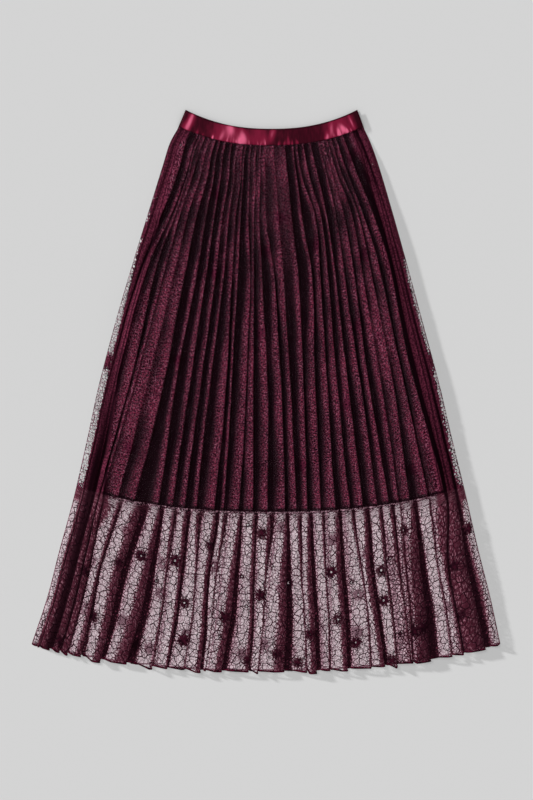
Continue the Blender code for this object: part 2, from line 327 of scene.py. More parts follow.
@dataclass(frozen=True)
class PleatChart:
    """Where each pleat lies, how deep it is, how its hem hangs, and where the lining ends."""

    across: float = 2800.0
    levels: tuple = (0.0, 0.06, 0.14, 0.25, 0.45, 0.695, 0.84, 1.0)
    depth_levels: tuple = (0.10, 0.45, 0.85)
    lining_ends: float = 0.695
    unevenness: float = 3.0
    seed: int = 11
    lining_sides: tuple = (
        (0.00, 160, 2627),
        (0.25, 138, 2635),
        (0.45, 134, 2640),
        (0.60, 160, 2648),
        (0.71, 206, 2657),
    )
    side_strips: tuple = (
        (0.00, 16, 12),
        (0.18, 19, 14),
        (0.33, 44, 29),
        (0.49, 58, 30),
        (0.64, 50, 46),
        (0.72, 46, 46),
        (0.87, 40, 38),
        (1.00, 36, 38),
    )
    pleats: tuple = tuple(Pleat(*row) for row in PLEAT_ROWS)

    @property
    def count(self) -> int:
        """Return the number of pleats."""
        return len(self.pleats)

    def hem_drops(self) -> Array:
        """Return how far each pleat's hem hangs, in metres."""
        return np.array([pleat.hem for pleat in self.pleats], float) * MM

    def edges_of_lining(self, down: Array) -> tuple[Array, Array]:
        """Return the shares of the width between which the lining lies, as columns."""
        table = np.array(self.lining_sides)
        sides = smooth_read(table[:, 0], table[:, 1:] / self.across, down)
        return sides[:, :1], sides[:, 1:]

    def strips(self, down: Array) -> tuple[Array, Array]:
        """Return how wide the see-through strips along the side edges are, in chart units."""
        table = np.array(self.side_strips, float)
        strips = smooth_read(table[:, 0], table[:, 1:], down)
        return strips[:, :1, None], strips[:, 1:, None]

    def marks(self, down: Array) -> tuple[Array, Array, Array]:
        """Read every pleat's marks down the skirt.

        Args:
            down: shares of the length.

        Returns:
            rise and crest as shares of the width, and depth, each with a row for each place.
        """
        rises = np.array([pleat.rise for pleat in self.pleats], float).T
        crests = np.array([pleat.crest for pleat in self.pleats], float).T
        deeps = np.array([pleat.deep for pleat in self.pleats]).T
        rng = np.random.default_rng(self.seed)
        envelope = self.unevenness * smoothstep(0.03, 0.22, down)[:, None]
        shift = wander(self.count, down, rng, (2.9, 5.3, 9.1)) * envelope
        rise = (smooth_read(self.levels, rises, down) + shift) / self.across
        crest = (smooth_read(self.levels, crests, down) + shift) / self.across
        read = smooth_read(self.depth_levels, deeps, down)
        depth = np.clip(read * (1 + 0.15 * wander(self.count, down, rng, (2.3, 3.9))), 0, 1)
        least = 3.0 / self.across
        for pleat in range(1, self.count):
            rise[:, pleat] = np.maximum(rise[:, pleat], crest[:, pleat - 1] + least)
            crest[:, pleat] = np.maximum(crest[:, pleat], rise[:, pleat] + least)
        return rise, crest, depth

    def zones(self, down: Array) -> Zones:
        """Return the front's gaps and faces at each share of the length."""
        rise, crest, depth = self.marks(down)
        last = np.concatenate([np.zeros((len(down), 1)), crest[:, :-1]], axis=1)
        return Zones(last, rise, crest, depth)

    def back_zones(self, down: Array) -> Zones:
        """Return the back's gaps and faces.

        A back gap runs from inside the front's gap to inside its face, by a reach that wanders, so that
        the back's gathers show through the left part of the front's faces.
        """
        front = self.zones(down)
        rng = np.random.default_rng(self.seed + 1)
        reach = 0.30 + 0.34 * wander(self.count, down, rng, (0.9, 2.2))
        reach = np.clip(reach + rng.uniform(-0.25, 0.3, self.count), 0.04, 0.8)
        last = front.rise - (front.rise - front.last) * 0.35
        rise = front.rise + (front.crest - front.rise) * reach
        last[:, 0] = 0.0
        rise[:, 0] = front.rise[:, 0]
        crest = np.concatenate([last[:, 1:], front.crest[:, -1:]], axis=1)
        rise = np.minimum(rise, crest - 1.0 / self.across)
        return Zones(last, rise, crest, np.clip(front.depth, 0.45, 1.0))


OUTLINE = Outline()
CHART = PleatChart()


@dataclass(frozen=True)
class Levels:
    """Heights of the layers, as functions of the share of the length.

    rows holds one row a station: the share of the length, the height of the front pleats on the
    lining, of those on the back lace, and of the back panels' folds, in millimetres.
    """

    wall: float = 1.8
    wall_at_band: float = 1.2
    gap: float = 0.5
    gap_at_band: float = 0.3
    full_at: float = 0.07
    rows: tuple = (
        (0.000, 0.5, 0.5, 0.1),
        (0.030, 2.2, 1.8, 1.2),
        (0.070, 3.6, 2.8, 1.9),
        (0.140, 4.8, 3.6, 2.5),
        (0.250, 5.8, 4.4, 3.0),
        (0.500, 6.8, 5.4, 3.0),
        (0.695, 7.0, 5.8, 3.0),
        (0.820, 7.0, 6.2, 3.0),
        (1.000, 7.0, 5.4, 3.0),
    )

    def read(self, down: Array) -> dict[str, Array]:
        """Read the pleat heights and the floor of each layer.

        Args:
            down: shares of the length.

        Returns:
            on_lining, on_lace and back, the pleat heights; pitch, from layer to layer; and floor, the
            height of the back lace's folds. Each is a column.
        """
        table = np.array(self.rows)
        heights = smooth_read(table[:, 0], table[:, 1:] * MM, down)
        grow = np.minimum(down / self.full_at, 1.0)
        wall = (self.wall_at_band + (self.wall - self.wall_at_band) * grow) * MM
        gap = (self.gap_at_band + (self.gap - self.gap_at_band) * grow) * MM
        return {
            "on_lining": heights[:, 0:1],
            "on_lace": heights[:, 1:2],
            "back": heights[:, 2:3],
            "pitch": (wall + gap)[:, None],
            "floor": (wall / 2)[:, None] + heights[:, 2:3],
        }


LEVELS = Levels()


# --- cloth surfaces ----------------------------------------------------------------------------


class Part(Enum):
    """The two parts of a pleat, from the last pleat's crest to its own."""

    GAP = 0
    FACE = 1


GAP, FACE = Part


@dataclass(frozen=True)
class FoldPoint:
    """One control point of a pleat's curve.

    share is its place across the part. Its height, as a share of the pleat height, is height less
    loss times the valley's depth. dark is the shade painted onto the cloth there, and below 0 a
    painted highlight, and dense tells how closely its net is gathered. own_hem and last_hem are the
    shares of this and the last pleat's hem drop.
    """

    part: Part
    share: float
    height: float
    loss: float = 0.0
    dark: float = 0.0
    dense: float = 0.0
    own_hem: float = 0.0
    last_hem: float = 0.0


def fold_points(*rows: tuple) -> tuple:
    """Return a pleat's control points from rows of their values."""
    return tuple(FoldPoint(*row) for row in rows)


LACE_ON_LINING = fold_points(
    (GAP, 0.05, 1.02, 0.00, 0.10, 0.34, 0.00, 0.65),
    (GAP, 0.12, 1.00, 0.15, 0.70, 0.40, 0.00, 0.60),
    (GAP, 0.20, 1.00, 0.50, 1.05, 0.45, 0.00, 0.40),
    (GAP, 0.32, 1.00, 0.82, 1.05, 0.50, 0.00, 0.20),
    (GAP, 0.46, 1.00, 0.95, 1.05, 0.50, 0.00, 0.00),
    (GAP, 0.82, 1.00, 0.95, 1.00, 0.50, -0.30, 0.00),
    (FACE, 0.05, 0.80, 0.00, 0.85, 0.42, -0.35, 0.00),
    (FACE, 0.46, 0.93, 0.00, 0.15, 0.34, 0.15, 0.00),
    (FACE, 0.95, 1.05, 0.00, -0.30, 0.28, 0.65, 0.00),
)
LACE_FOLDED = fold_points(
    (GAP, 0.03, 1.00, 0.00, 0.08, 0.62, 0.00, 0.70),
    (GAP, 0.62, 0.97, 0.00, 0.34, 0.92, 0.00, 0.75),
    (GAP, 0.66, 1.00, 0.35, 0.70, 0.95, 0.00, 0.60),
    (GAP, 0.30, 1.00, 0.52, 0.85, 0.75, 0.00, 0.30),
    (GAP, 0.04, 1.00, 0.78, 0.85, 0.65, 0.00, 0.00),
    (GAP, 0.74, 1.00, 0.97, 1.20, 1.50, -0.20, 0.00),
    (FACE, 0.00, 1.00, 0.60, 0.80, 1.10, -0.35, 0.00),
    (FACE, 0.10, 0.88, 0.00, 0.05, 0.00, -0.20, 0.00),
    (FACE, 0.93, 1.02, 0.00, 0.00, 0.00, 0.60, 0.00),
)
LINING_RIDGES = fold_points(
    (GAP, 0.04, 1.00, 0.00, 0.10, 0.00, 0.00, 0.50),
    (GAP, 0.09, 1.00, 0.20, 0.75, 0.00, 0.00, 0.45),
    (GAP, 0.15, 1.00, 0.65, 1.00, 0.00, 0.00, 0.20),
    (GAP, 0.26, 1.00, 0.98, 1.00, 0.00, 0.00, 0.00),
    (GAP, 0.84, 1.00, 0.98, 1.00, 0.00, -0.30, 0.00),
    (GAP, 0.98, 1.00, 0.60, 0.90, 0.00, -0.30, 0.00),
    (FACE, 0.06, 0.84, 0.00, 0.78, 0.00, -0.20, 0.00),
    (FACE, 0.46, 0.93, 0.00, 0.14, 0.00, 0.10, 0.00),
    (FACE, 0.95, 1.03, 0.00, -0.15, 0.00, 0.50, 0.00),
)
BACK_FOLDS = fold_points(
    (GAP, 0.03, 0.00, 0.00, 0.10, 0.20, 0.00, -0.30),
    (GAP, 0.22, 0.00, -0.55, 0.25, 0.36, 0.00, -0.30),
    (GAP, 0.80, 0.00, -0.85, 0.30, 0.36, 0.00, -0.20),
    (GAP, 0.30, 0.00, -0.45, 0.45, 0.36, 0.05, 0.00),
    (GAP, 0.92, 0.00, 0.00, 0.35, 0.36, 0.15, 0.00),
    (FACE, 0.08, 0.00, 0.00, 0.05, -0.06, 0.10, 0.00),
    (FACE, 0.92, 0.00, 0.00, 0.05, -0.06, -0.20, 0.00),
)
LINING_FLATS = fold_points(
    (GAP, 0.10, 0.00, 0.00, 0.30),
    (GAP, 0.40, 0.80, 0.00, 0.60),
    (GAP, 0.60, 0.80, 0.00, 0.60),
    (FACE, 0.05, 0.00, 0.00, 0.30),
    (FACE, 0.60, 0.00, 0.00, 0.10),
)


@dataclass
class Pleats:
    """The control values of a row of pleats, each an array of rows, pleats and control points."""

    x: Array
    z: Array
    dark: Array
    dense: Array
    drop: Array

    @classmethod
    def lay(cls, points: tuple, zones: "Zones", floor: Array, tall: Array) -> "Pleats":
        """Lay a pleat's control points into every gap and face.

        A place is the part's start plus its width times the share, and a height is the floor plus the
        pleat height times what FoldPoint says.

        Args:
            points: one pleat's control points.
            zones: where the gaps and faces lie.
            floor: the height of the valleys for each row, as a column.
            tall: the pleat height for each row, as a column.

        Returns:
            The pleats.
        """
        faces = np.array([point.part is FACE for point in points])
        rows = np.array([list(vars(point).values())[1:] for point in points])
        share, height, loss, dark, dense, own_hem, last_hem = rows.T
        start = np.where(faces, zones.rise[..., None], zones.last[..., None])
        wide = np.where(faces, (zones.crest - zones.rise)[..., None],
                        (zones.rise - zones.last)[..., None])
        depth = zones.depth[..., None]
        folded = np.clip(depth * 1.25, 0.5, 1.0)
        hem = CHART.hem_drops()
        before = np.concatenate([[0.0], hem[:-1]])
        drop = hem[:, None] * own_hem + before[:, None] * last_hem
        return cls(
            x=start + wide * share,
            z=floor[..., None] + tall[..., None] * (height - loss * folded),
            # the painted shade grows with the depth of the pleat's valley
            dark=np.where(dark > 0, dark * np.clip(depth * 1.25, 0.3, 1.0), dark),
            dense=dense * np.clip(0.55 + 0.6 * depth, 0, 1),
            drop=drop + 0 * depth,
        )

    def blend(self, other: "Pleats", share: Array) -> "Pleats":
        """Return a mix of these pleats and others, from 0 for these to 1 for the others."""
        pairs = zip(vars(self).values(), vars(other).values())
        return Pleats(*[mine * (1 - share) + theirs * share for mine, theirs in pairs])

    def controls(self) -> Array:
        """Return all control points as rows, points and the five values."""
        rows = len(self.x)
        return np.stack([part.reshape(rows, -1) for part in vars(self).values()], axis=2)


@dataclass
class Cloth:
    """A folded cloth as a grid of points, with its flat layout.

    points holds rows down the skirt and columns across it. depth is the shade painted onto the
    cloth: 0 on the pleats' faces, 1 deep in their folds, and below 0 where a painted highlight lies
    on a crest. dense tells how closely the net is gathered. down is the share of the length of each
    row, shares the share of the width of each point, and inside, where it is given, marks the
    points that lie between the cloth's side edges.
    """

    points: Array
    depth: Array
    dense: Array
    down: Array
    length: float
    shares: Array
    inside: Optional[Array] = None
    along: Array = field(init=False)
    width: Array = field(init=False)
    normals: Array = field(init=False)

    def __post_init__(self) -> None:
        """Measure the flat layout and the normals.

        along is the distance along the folds from the left edge, as a share of the whole, and
        width is that whole distance. The normal is the cross product of the two grid directions.
        """
        steps = np.diff(self.points, axis=1)[..., [0, 2]]
        ahead = np.cumsum(np.linalg.norm(steps, axis=2) + 1e-7, axis=1)
        ahead = np.concatenate([np.zeros((len(ahead), 1)), ahead], axis=1)
        self.width = ahead[:, -1]
        self.along = ahead / ahead[:, -1:]
        across = np.gradient(self.points, axis=1)
        downward = np.gradient(self.points, axis=0)
        normal = np.cross(downward, across)
        self.normals = normal / (np.linalg.norm(normal, axis=2, keepdims=True) + 1e-12)

    def flat(self) -> Array:
        """Return each point's place on the flat cloth, measured from its middle line."""
        u = (self.along - 0.5) * self.width[:, None]
        v = np.broadcast_to(-self.down[:, None] * self.length, u.shape)
        return np.stack([u, v], axis=2)

    def flat_area(self) -> float:
        """Return the area of the flat cloth: the widths summed down the length."""
        steps = np.diff(self.down) * self.length
        return float(((self.width[1:] + self.width[:-1]) / 2 * steps).sum())

    def width_at(self, v: Array) -> Array:
        """Return the flat width at each distance down."""
        return np.interp(-v / self.length, self.down, self.width)

    def carry(self, flat: Array, lift: Array) -> tuple[Array, Array]:
        """Carry points from the flat cloth onto the folded one.

        Two rows of the grid lie beside a point, and its share of the flat width falls between two
        columns in each. The four corners are blended, and the point is lifted along the normal.

        Args:
            flat: places on the flat cloth, one a row.
            lift: distance above the cloth.

        Returns:
            The points in space and the cloth's depth at each.
        """
        down = np.clip(-flat[:, 1] / self.length, self.down[0], self.down[-1])
        row = np.interp(down, self.down, np.arange(len(self.down)))
        low = np.clip(row.astype(int), 0, len(self.down) - 2)
        blend = (row - low)[:, None]
        share = np.clip(flat[:, 0] / self.width_at(flat[:, 1]) + 0.5, 1e-6, 1 - 1e-6)
        keys = (self.along + 2.0 * np.arange(len(self.down))[:, None]).ravel()
        columns = self.along.shape[1]
        known = np.concatenate([self.points, self.normals, self.depth[..., None]], axis=2)
        known = known.reshape(-1, 7)
        found = np.zeros((len(flat), 7))
        for line, weight in ((low, 1 - blend), (low + 1, blend)):
            index = np.searchsorted(keys, share + 2.0 * line) - 1
            index = np.clip(index, line * columns, line * columns + columns - 2)
            part = ((share + 2.0 * line - keys[index]) / (keys[index + 1] - keys[index]))[:, None]
            part = np.clip(part, 0.0, 1.0)
            found += weight * (known[index] * (1 - part) + known[index + 1] * part)
        normal = found[:, 3:6] / (np.linalg.norm(found[:, 3:6], axis=1, keepdims=True) + 1e-12)
        return found[:, :3] + normal * np.reshape(lift, (-1, 1)), found[:, 6]

    def find(self, share: float, down: float) -> Array:
        """Find the flat place of the topmost cloth at a share of width and length.

        Args:
            share: the share of the width.
            down: the share of the length.

        Returns:
            The place on the flat cloth.
        """
        row = int(np.argmin(np.abs(self.down - down)))
        line = self.shares[row]
        crossed = np.nonzero((line[:-1] - share) * (line[1:] - share) <= 0)[0]
        column = crossed[np.argmax(self.points[row, crossed, 2])]
        part = (share - line[column]) / (line[column + 1] - line[column] + 1e-12)
        along = self.along[row, column] * (1 - part) + self.along[row, column + 1] * part
        v = -down * self.length
        return np.array([(along - 0.5) * self.width_at(np.array([v]))[0], v])


class Side(Enum):
    """Which side of the skirt a panel is on."""

    FRONT = "front"
    BACK = "back"


def grid_faces(rows: int, columns: int) -> Array:
    """Return the quads of a grid, with their fronts up for rows that run down the skirt."""
    corner = (np.arange(rows - 1)[:, None] * columns + np.arange(columns - 1)).ravel()
    return np.stack([corner, corner + columns, corner + columns + 1, corner + 1], axis=1)


def loop_faces(steps: int, sides: int) -> Array:
    """Return the quads between rings of points, one ring a step, each closed on itself."""
    index = np.arange(steps * sides).reshape(steps, sides)
    after = np.roll(index, -1, axis=1)
    return np.stack([index[:-1], after[:-1], after[1:], index[1:]], axis=2).reshape(-1, 4)


def make_object(name: str, points: Array, faces: Array, smooth: bool = True) -> Object:
    """Put points and faces into a new mesh object.

    Args:
        name: the piece's name.
        points: the vertices, one a row.
        faces: vertex numbers, one face a row.
        smooth: whether its faces are shaded smooth.

    Returns:
        The object, linked to the scene.
    """
    mesh = bpy.data.meshes.new(name)
    sides = faces.shape[1]
    mesh.vertices.add(len(points))
    mesh.vertices.foreach_set("co", np.asarray(points, np.float32).ravel())
    mesh.loops.add(faces.size)
    mesh.loops.foreach_set("vertex_index", faces.astype(np.int32).ravel())
    mesh.polygons.add(len(faces))
    mesh.polygons.foreach_set("loop_start", np.arange(len(faces), dtype=np.int32) * sides)
    mesh.polygons.foreach_set("use_smooth", np.full(len(faces), smooth))
    mesh.update(calc_edges=True)
    mesh.validate()
    piece = bpy.data.objects.new(name, mesh)
    bpy.context.scene.collection.objects.link(piece)
    return piece


def give_uv(piece: Object, flat: Array) -> None:
    """Give a mesh a UV map in metres from one flat place for each vertex."""
    mesh = piece.data
    layer = mesh.uv_layers.new(name="flat")
    order = np.empty(len(mesh.loops), np.int32)
    mesh.loops.foreach_get("vertex_index", order)
    layer.data.foreach_set("uv", np.asarray(flat, np.float32)[order].ravel())


def give_value(piece: Object, name: str, values: Array, kind: str = "FLOAT") -> None:
    """Give a mesh one number for each vertex, or one vector where the kind is FLOAT_VECTOR."""
    layer = piece.data.attributes.new(name=name, type=kind, domain="POINT")
    key = "value" if kind == "FLOAT" else "vector"
    layer.data.foreach_set(key, np.asarray(values, np.float32).ravel())


@dataclass
class PleatedPanels:
    """Works out the folded grids of the four cloth panels.

    Places across are in chart units and places down are shares of the length. strip_soft tells how
    far a side strip's edge fades to each side. left_fold is one deep valley, drawn as closer net and
    painted shade: its place, its lean and its half width. dark_zone holds painted shade, and
    rear_zone closer net and painted shade. Each zone rises and falls over four places across.
    """

    top: float
    samples: int = 2
    front_rows: int = 164
    back_rows: int = 120
    lining_rows: int = 90
    lining_back_rows: int = 52
    lift_on_lining: float = 1.9 * MM
    skin: float = 0.45 * MM
    edge_gap: float = 0.6 * MM
    swell_height: float = 0.8 * MM
    swell_light: float = 0.40
    soft_top: float = 0.82
    shade_near_band: float = 0.26
    swell_waves: tuple = ((3.1, 2.3), (5.2, -3.4), (8.3, 1.6), (2.2, 5.1), (11.5, -2.0))
    past_lining: float = 4.5 * MM
    closed: float = 1.9
    rim: float = 7.0
    rim_dense: float = 1.1
    ties: tuple = (0.20, 0.452, 0.705)
    tie_size: float = 0.012
    right_lift: float = 2.4 * MM
    tuck: float = 1.0 * MM
    # mottle: uneven patches of painted shade and light
    mottle: float = 0.30
    fine_steps: tuple = (-6.5, -5.0, -3.5, -2.0, -1.0, 1.0, 2.5)
    least_step: float = 0.0003
    sunk: float = 0.6 * MM
    lining_slack: float = 10.0
    turns_over: tuple = (0.690, 0.720)
    # a band of painted shade on the lace along the lining's hem: its middle and half width
    hem_line: float = 0.6945
    hem_line_half: float = 0.0024
    hem_shade: tuple = (0.0055, 0.0015)
    bump_height: float = 0.35 * MM
    low_part: tuple = (0.70, 0.80)
    strip_soft: tuple = (6.0, 5.0)
    beside_lining: tuple = (8.0, 34.0)
    left_fold: tuple = (112.0, 16.0, 17.0)
    dark_zone: tuple = (70.0, 120.0, 230.0, 290.0)
    rear_zone: tuple = (2180.0, 2240.0, 2390.0, 2430.0)

    def lace_front(self) -> Cloth:
        """Work out the front lace.

        On the lining it is a row of soft ridges. Beside and below the lining each face runs past its
        crest to a nose, back under it and forward again, so three layers of lace lie on each other.
        """
        down = self._rows(self.front_rows, 1.0, True)
        zones = CHART.zones(down)
        level = LEVELS.read(down)
        floor_on = level["floor"] + 2 * level["pitch"] + self.lift_on_lining
        floor_off = level["floor"] + level["pitch"] - self.sunk
        ridges = Pleats.lay(LACE_ON_LINING, zones, floor_on, level["on_lining"])
        self._swell(ridges, down)
        folds = Pleats.lay(LACE_FOLDED, zones, floor_off, level["on_lace"])
        left, right = [side[..., None] for side in CHART.edges_of_lining(down)]
        slack = self.lining_slack / CHART.across
        over = plateau(left - slack, left, right, right + slack, ridges.x)
        below = smoothstep(*self.turns_over, down)[:, None, None]
        off = np.maximum(below, 1 - over)
        lace = ridges.blend(folds, off)
        # painted shade on the lace along the lining's hem, where it lies on the lining
        past = (down[:, None, None] - self.hem_line) / self.hem_line_half
        lace.dark += over * np.exp(-past ** 2)
        self._bumps(lace, down)
        self._close_sides(lace, down, Side.FRONT)
        return self._surface(down, lace, Side.FRONT)

    def lace_back(self) -> Cloth:
        """Work out the back lace: broad flats on the floor with narrow folds between them."""
        down = self._rows(self.back_rows, 1.0)
        zones = CHART.back_zones(down)
        level = LEVELS.read(down)
        lace = Pleats.lay(BACK_FOLDS, zones, self.skin + 0 * level["floor"], level["back"])
        self._close_sides(lace, down, Side.BACK)
        return self._surface(down, lace, Side.BACK)

    def lining_front(self) -> Cloth:
        """Work out the front lining: ridges with a steep right side and a flat valley."""
        down = self._rows(self.lining_rows, CHART.lining_ends, True)
        zones = CHART.zones(down)
        level = LEVELS.read(down)
        floor = level["floor"] + 2 * level["pitch"]
        lining = Pleats.lay(LINING_RIDGES, zones, floor, level["on_lining"])
        self._swell(lining, down)
        self._bumps(lining, down)
        return self._lining(down, lining)

    def lining_back(self) -> Cloth:
        """Work out the back lining, which lies on the folds of the back lace."""
        end = CHART.lining_ends + self.past_lining / OUTLINE.length
        down = self._rows(self.lining_back_rows, end)
        zones = CHART.zones(down)
        level = LEVELS.read(down)
        lining = Pleats.lay(LINING_FLATS, zones, level["pitch"] + 0.5 * MM, level["back"])
        return self._lining(down, lining)

    def _lining(self, down: Array, lining: Pleats) -> Cloth:
        """Draw a lining panel, paint shade near its hem and gather it in between its side edges.

        The curve's points beyond a side edge move to where the curve crosses it.
        """
        controls = lining.controls()
        # painted shade on the lining near its hem
        start, end = self.hem_shade
        near_hem = smoothstep(down[-1] - start, down[-1] - end, down)[:, None]
        controls[..., 2] = np.maximum(controls[..., 2], near_hem)
        controls[..., 4] *= smoothstep(down[-1] - 0.10, down[-1], down)[:, None] * 0.5
        curve = fold_curve(controls, self.samples)
        x = np.maximum.accumulate(curve[..., 0], axis=1)
        curve[..., 0] = x
        left, right = CHART.edges_of_lining(down)
        number = np.arange(x.shape[1])[None]
        inside = np.ones(x.shape, bool)
        for edge, first in ((left, True), (right, False)):
            index = np.clip((x < edge).sum(axis=1), 1, x.shape[1] - 1)[:, None, None]
            before = np.take_along_axis(curve, index - 1, axis=1)
            after = np.take_along_axis(curve, index, axis=1)
            part = (edge[:, :, None] - before[..., :1]) / (after[..., :1] - before[..., :1] + 1e-12)
            on_edge = before * (1 - part) + after * part
            outside = number < index[:, :, 0] if first else number >= index[:, :, 0]
            curve = np.where(outside[..., None], on_edge, curve)
            inside &= ~outside
        return self._cloth(down, curve, inside)

    def _swell(self, pleats: Pleats, down: Array) -> None:
        """Raise and lower the cloth softly where it hangs full, and paint light onto what stands up.
        Paint shade near the band and in uneven patches, and soften the folds' painted shade near the top.

        The swell is the mean of sines whose phase runs across and down at uneven paces.
        """
        rng = np.random.default_rng(17)
        at = down[:, None, None]
        turns = [a * pleats.x + b * at + rng.uniform() for a, b in self.swell_waves]
        swell = np.mean(np.sin(2 * math.pi * np.array(turns)), axis=0)
        where = smoothstep(0.01, 0.08, at) * (1 - smoothstep(0.55, 0.72, at))
        pleats.z += self.swell_height * swell * where
        pleats.dark -= self.swell_light * swell * where
        # the painted shade of the folds is softer near the top
        soft = self.soft_top + (1 - self.soft_top) * smoothstep(0.04, 0.24, at)
        pleats.dark[...] = np.where(pleats.dark > 0, pleats.dark * soft, pleats.dark)
        # painted shade near the band
        pleats.dark += self.shade_near_band * (1 - smoothstep(0.05, 0.40, at))
        # uneven patches of painted shade and light
        patches = wander(CHART.count, down, rng, (5.3, 9.7, 14.2))[:, :, None]
        pleats.dark += self.mottle * patches * (1 - 0.6 * smoothstep(0.15, 0.50, at))

    def _bumps(self, pleats: Pleats, down: Array) -> None:
        """Let each pleat rise and sink a little on its way down."""
        bumps = wander(CHART.count, down, np.random.default_rng(5), (3.1, 6.7))
        pleats.z += self.bump_height * bumps[:, :, None]

    def _close_sides(self, lace: Pleats, down: Array, side: Side) -> None:
        """Gather the lace closely beside the lining and near the band, and paint shade onto it there.

        A see-through strip runs along each side edge, closed near the band and at the ties. Between it
        and the lining the lace is closed. Below the lining the right side opens gradually.

        Args:
            lace: the pleats' control values.
            down: shares of the length.
            side: front or back.
        """
        at = down[:, None, None]
        across = lace.x * CHART.across
        back = CHART.across - across
        left_strip, right_strip = CHART.strips(down)
        low = smoothstep(*self.low_part, at)
        out, within = self.strip_soft
        left = smoothstep(left_strip - out, left_strip + within, across)
        right = smoothstep(right_strip - out, right_strip + within + 40 * low, back)
        edges = [CHART.across * edge[..., None] for edge in CHART.edges_of_lining(down)]
        near_left = across - edges[0] + 24 * low
        near_right = back - (CHART.across - edges[1]) - 65 * low
        beside_left = 1 - smoothstep(*self.beside_lining, near_left)
        beside_right = 1 - smoothstep(*self.beside_lining, near_right)
        open_strip = 1 - left * right
        ties = [np.exp(-((at - place) / self.tie_size) ** 2) for place in self.ties]
        outer = np.clip(1 - smoothstep(0.03, 0.07, at) + sum(ties), 0, 1) * open_strip
        close = np.maximum(np.maximum(left * beside_left, right * beside_right), outer)
        thin = 0.09 + 0.08 * np.cos(at * 13.0) if side is Side.FRONT else -0.06
        lace.dense[...] = lace.dense * (1 - open_strip) + thin * open_strip
        lace.dense[...] = np.maximum(lace.dense, self.closed * close)
        # painted shade: the pleats' own is kept outside the see-through strips, and more is painted where
        # the lace is closed, along one deep valley on the left and in a zone below the lining
        place, lean, half = self.left_fold
        valley = np.exp(-((across - place + lean * at) / half) ** 2) * smoothstep(0.40, 0.68, at)
        deep = plateau(*self.dark_zone, across) * low
        lace.dark[...] = lace.dark * (1 - open_strip) + 0.10 * close + 0.9 * valley + 0.1 * deep
        lace.dense[...] = np.maximum(lace.dense, valley)
        # on the right below the lining the net is closer and painted shade is added
        rear = plateau(*self.rear_zone, across) * low
        lace.dense += 0.45 * rear
        lace.dark += 0.20 * rear

    def _rows(self, count: int, end: float, fine: bool = False) -> Array:
        """Return shares of the length, closer together near the band and the lining's hem.

        Args:
            count: how many rows.
            end: the last row's share.
            fine: whether rows are added near the lining's hem.

        Returns:
            The rows, from 0 to end.
        """
        s = np.linspace(0, 1, count)
        rows = end * (0.6 * s + 0.4 * s * s)
        if not fine:
            return rows
        extra = CHART.lining_ends + np.array(self.fine_steps) * MM / OUTLINE.length
        rows = np.sort(np.concatenate([rows, extra[extra < end]]))
        keep = np.diff(rows, prepend=-1.0) > self.least_step
        keep[-1] = True
        return rows[keep]

    def _surface(self, down: Array, lace: Pleats, side: Side) -> Cloth:
        """Close a lace panel's control points at its side edges and draw the surface.

        Args:
            down: shares of the length.
            lace: the pleats' control values.
            side: front or back.

        Returns:
            The cloth.
        """
        table = LACE_ON_LINING if side is Side.FRONT else BACK_FOLDS
        first = sum(point.part is GAP for point in table)
        controls = lace.controls()[:, first:]
        controls[..., 4] *= smoothstep(0.90, 1.0, down)[:, None]
        edge = self.skin + (self.edge_gap if side is Side.FRONT else 0.0)
        lift = self.right_lift * smoothstep(0.20, 0.42, down)[:, None]
        first_in = controls[:, :1].copy()
        last_in = controls[:, -1:].copy()
        ends = []
        for near, share in ((first_in, 0.0), (last_in, 1.0)):
            near[..., 0] = abs(share - self.rim / CHART.across)
            near[..., 1] = edge + lift * share
            near[..., 4] = 0.0
            rim = near.copy()
            rim[..., 0] = share
            rim[..., 3] = self.rim_dense
            ends.append(rim)
        controls = np.concatenate([ends[0], first_in, controls, last_in, ends[1]], axis=1)
        controls[0, :, 4] = -self.tuck  # the first row runs up under the band
        return self._cloth(down, fold_curve(controls, self.samples))

    def _cloth(self, down: Array, curve: Array, inside: Optional[Array] = None) -> Cloth:
        """Place a drawn curve of shares, heights, darkness, density and hem drop in space."""
        x, y = OUTLINE.place(curve[..., 0], down, self.top)
        points = np.stack([x, y - curve[..., 4], curve[..., 1]], axis=2)
        return Cloth(points, curve[..., 2], curve[..., 3], down, OUTLINE.length, curve[..., 0], inside)


# --- shading -----------------------------------------------------------------------------------


def math_method(operation: str, reflected: bool = False) -> Callable:
    """Make a method that adds one Math node.

    Args:
        operation: what the node does.
        reflected: whether the other operand comes first.

    Returns:
        The method.
    """

    def method(self: "Wire", other: "Operand") -> "Wire":
        """Add the node for this wire and another operand, and return its result."""
        pair = (other, self) if reflected else (self, other)
        node = self.graph.node("ShaderNodeMath", {"operation": operation}, dict(enumerate(pair)))
        return Wire(self.graph, node.outputs[0])

    return method


class Wire:
    """A number on a socket. Arithmetic on it adds Math nodes."""

    __add__ = math_method("ADD")
    __radd__ = math_method("ADD", reflected=True)
    __sub__ = math_method("SUBTRACT")
    __rsub__ = math_method("SUBTRACT", reflected=True)
    __mul__ = math_method("MULTIPLY")
    __rmul__ = math_method("MULTIPLY", reflected=True)
    max = math_method("MAXIMUM")
    min = math_method("MINIMUM")
    below = math_method("LESS_THAN")

    def __init__(self, graph: "Graph", socket: NodeSocket) -> None:
        """Keep the graph and the socket that carries the number."""
        self.graph = graph
        self.socket = socket

    def shade(self, strength: float) -> "Wire":
        """Return d times (2 - d), where d is the number times a strength, kept from 0 to 1."""
        part = (self * strength).max(0).min(1)
        return part * (2 - part)

    def fade(self, low: float, high: float) -> "Wire":
        """Rise smoothly from 0 at low to 1 at high."""
        node = self.graph.node(
            "ShaderNodeMapRange",
            {"interpolation_type": "SMOOTHSTEP"},
            {"Value": self, "From Min": low, "From Max": high, "To Min": 0.0, "To Max": 1.0},
        )
        return Wire(self.graph, node.outputs[0])


Operand = Union[Wire, float]


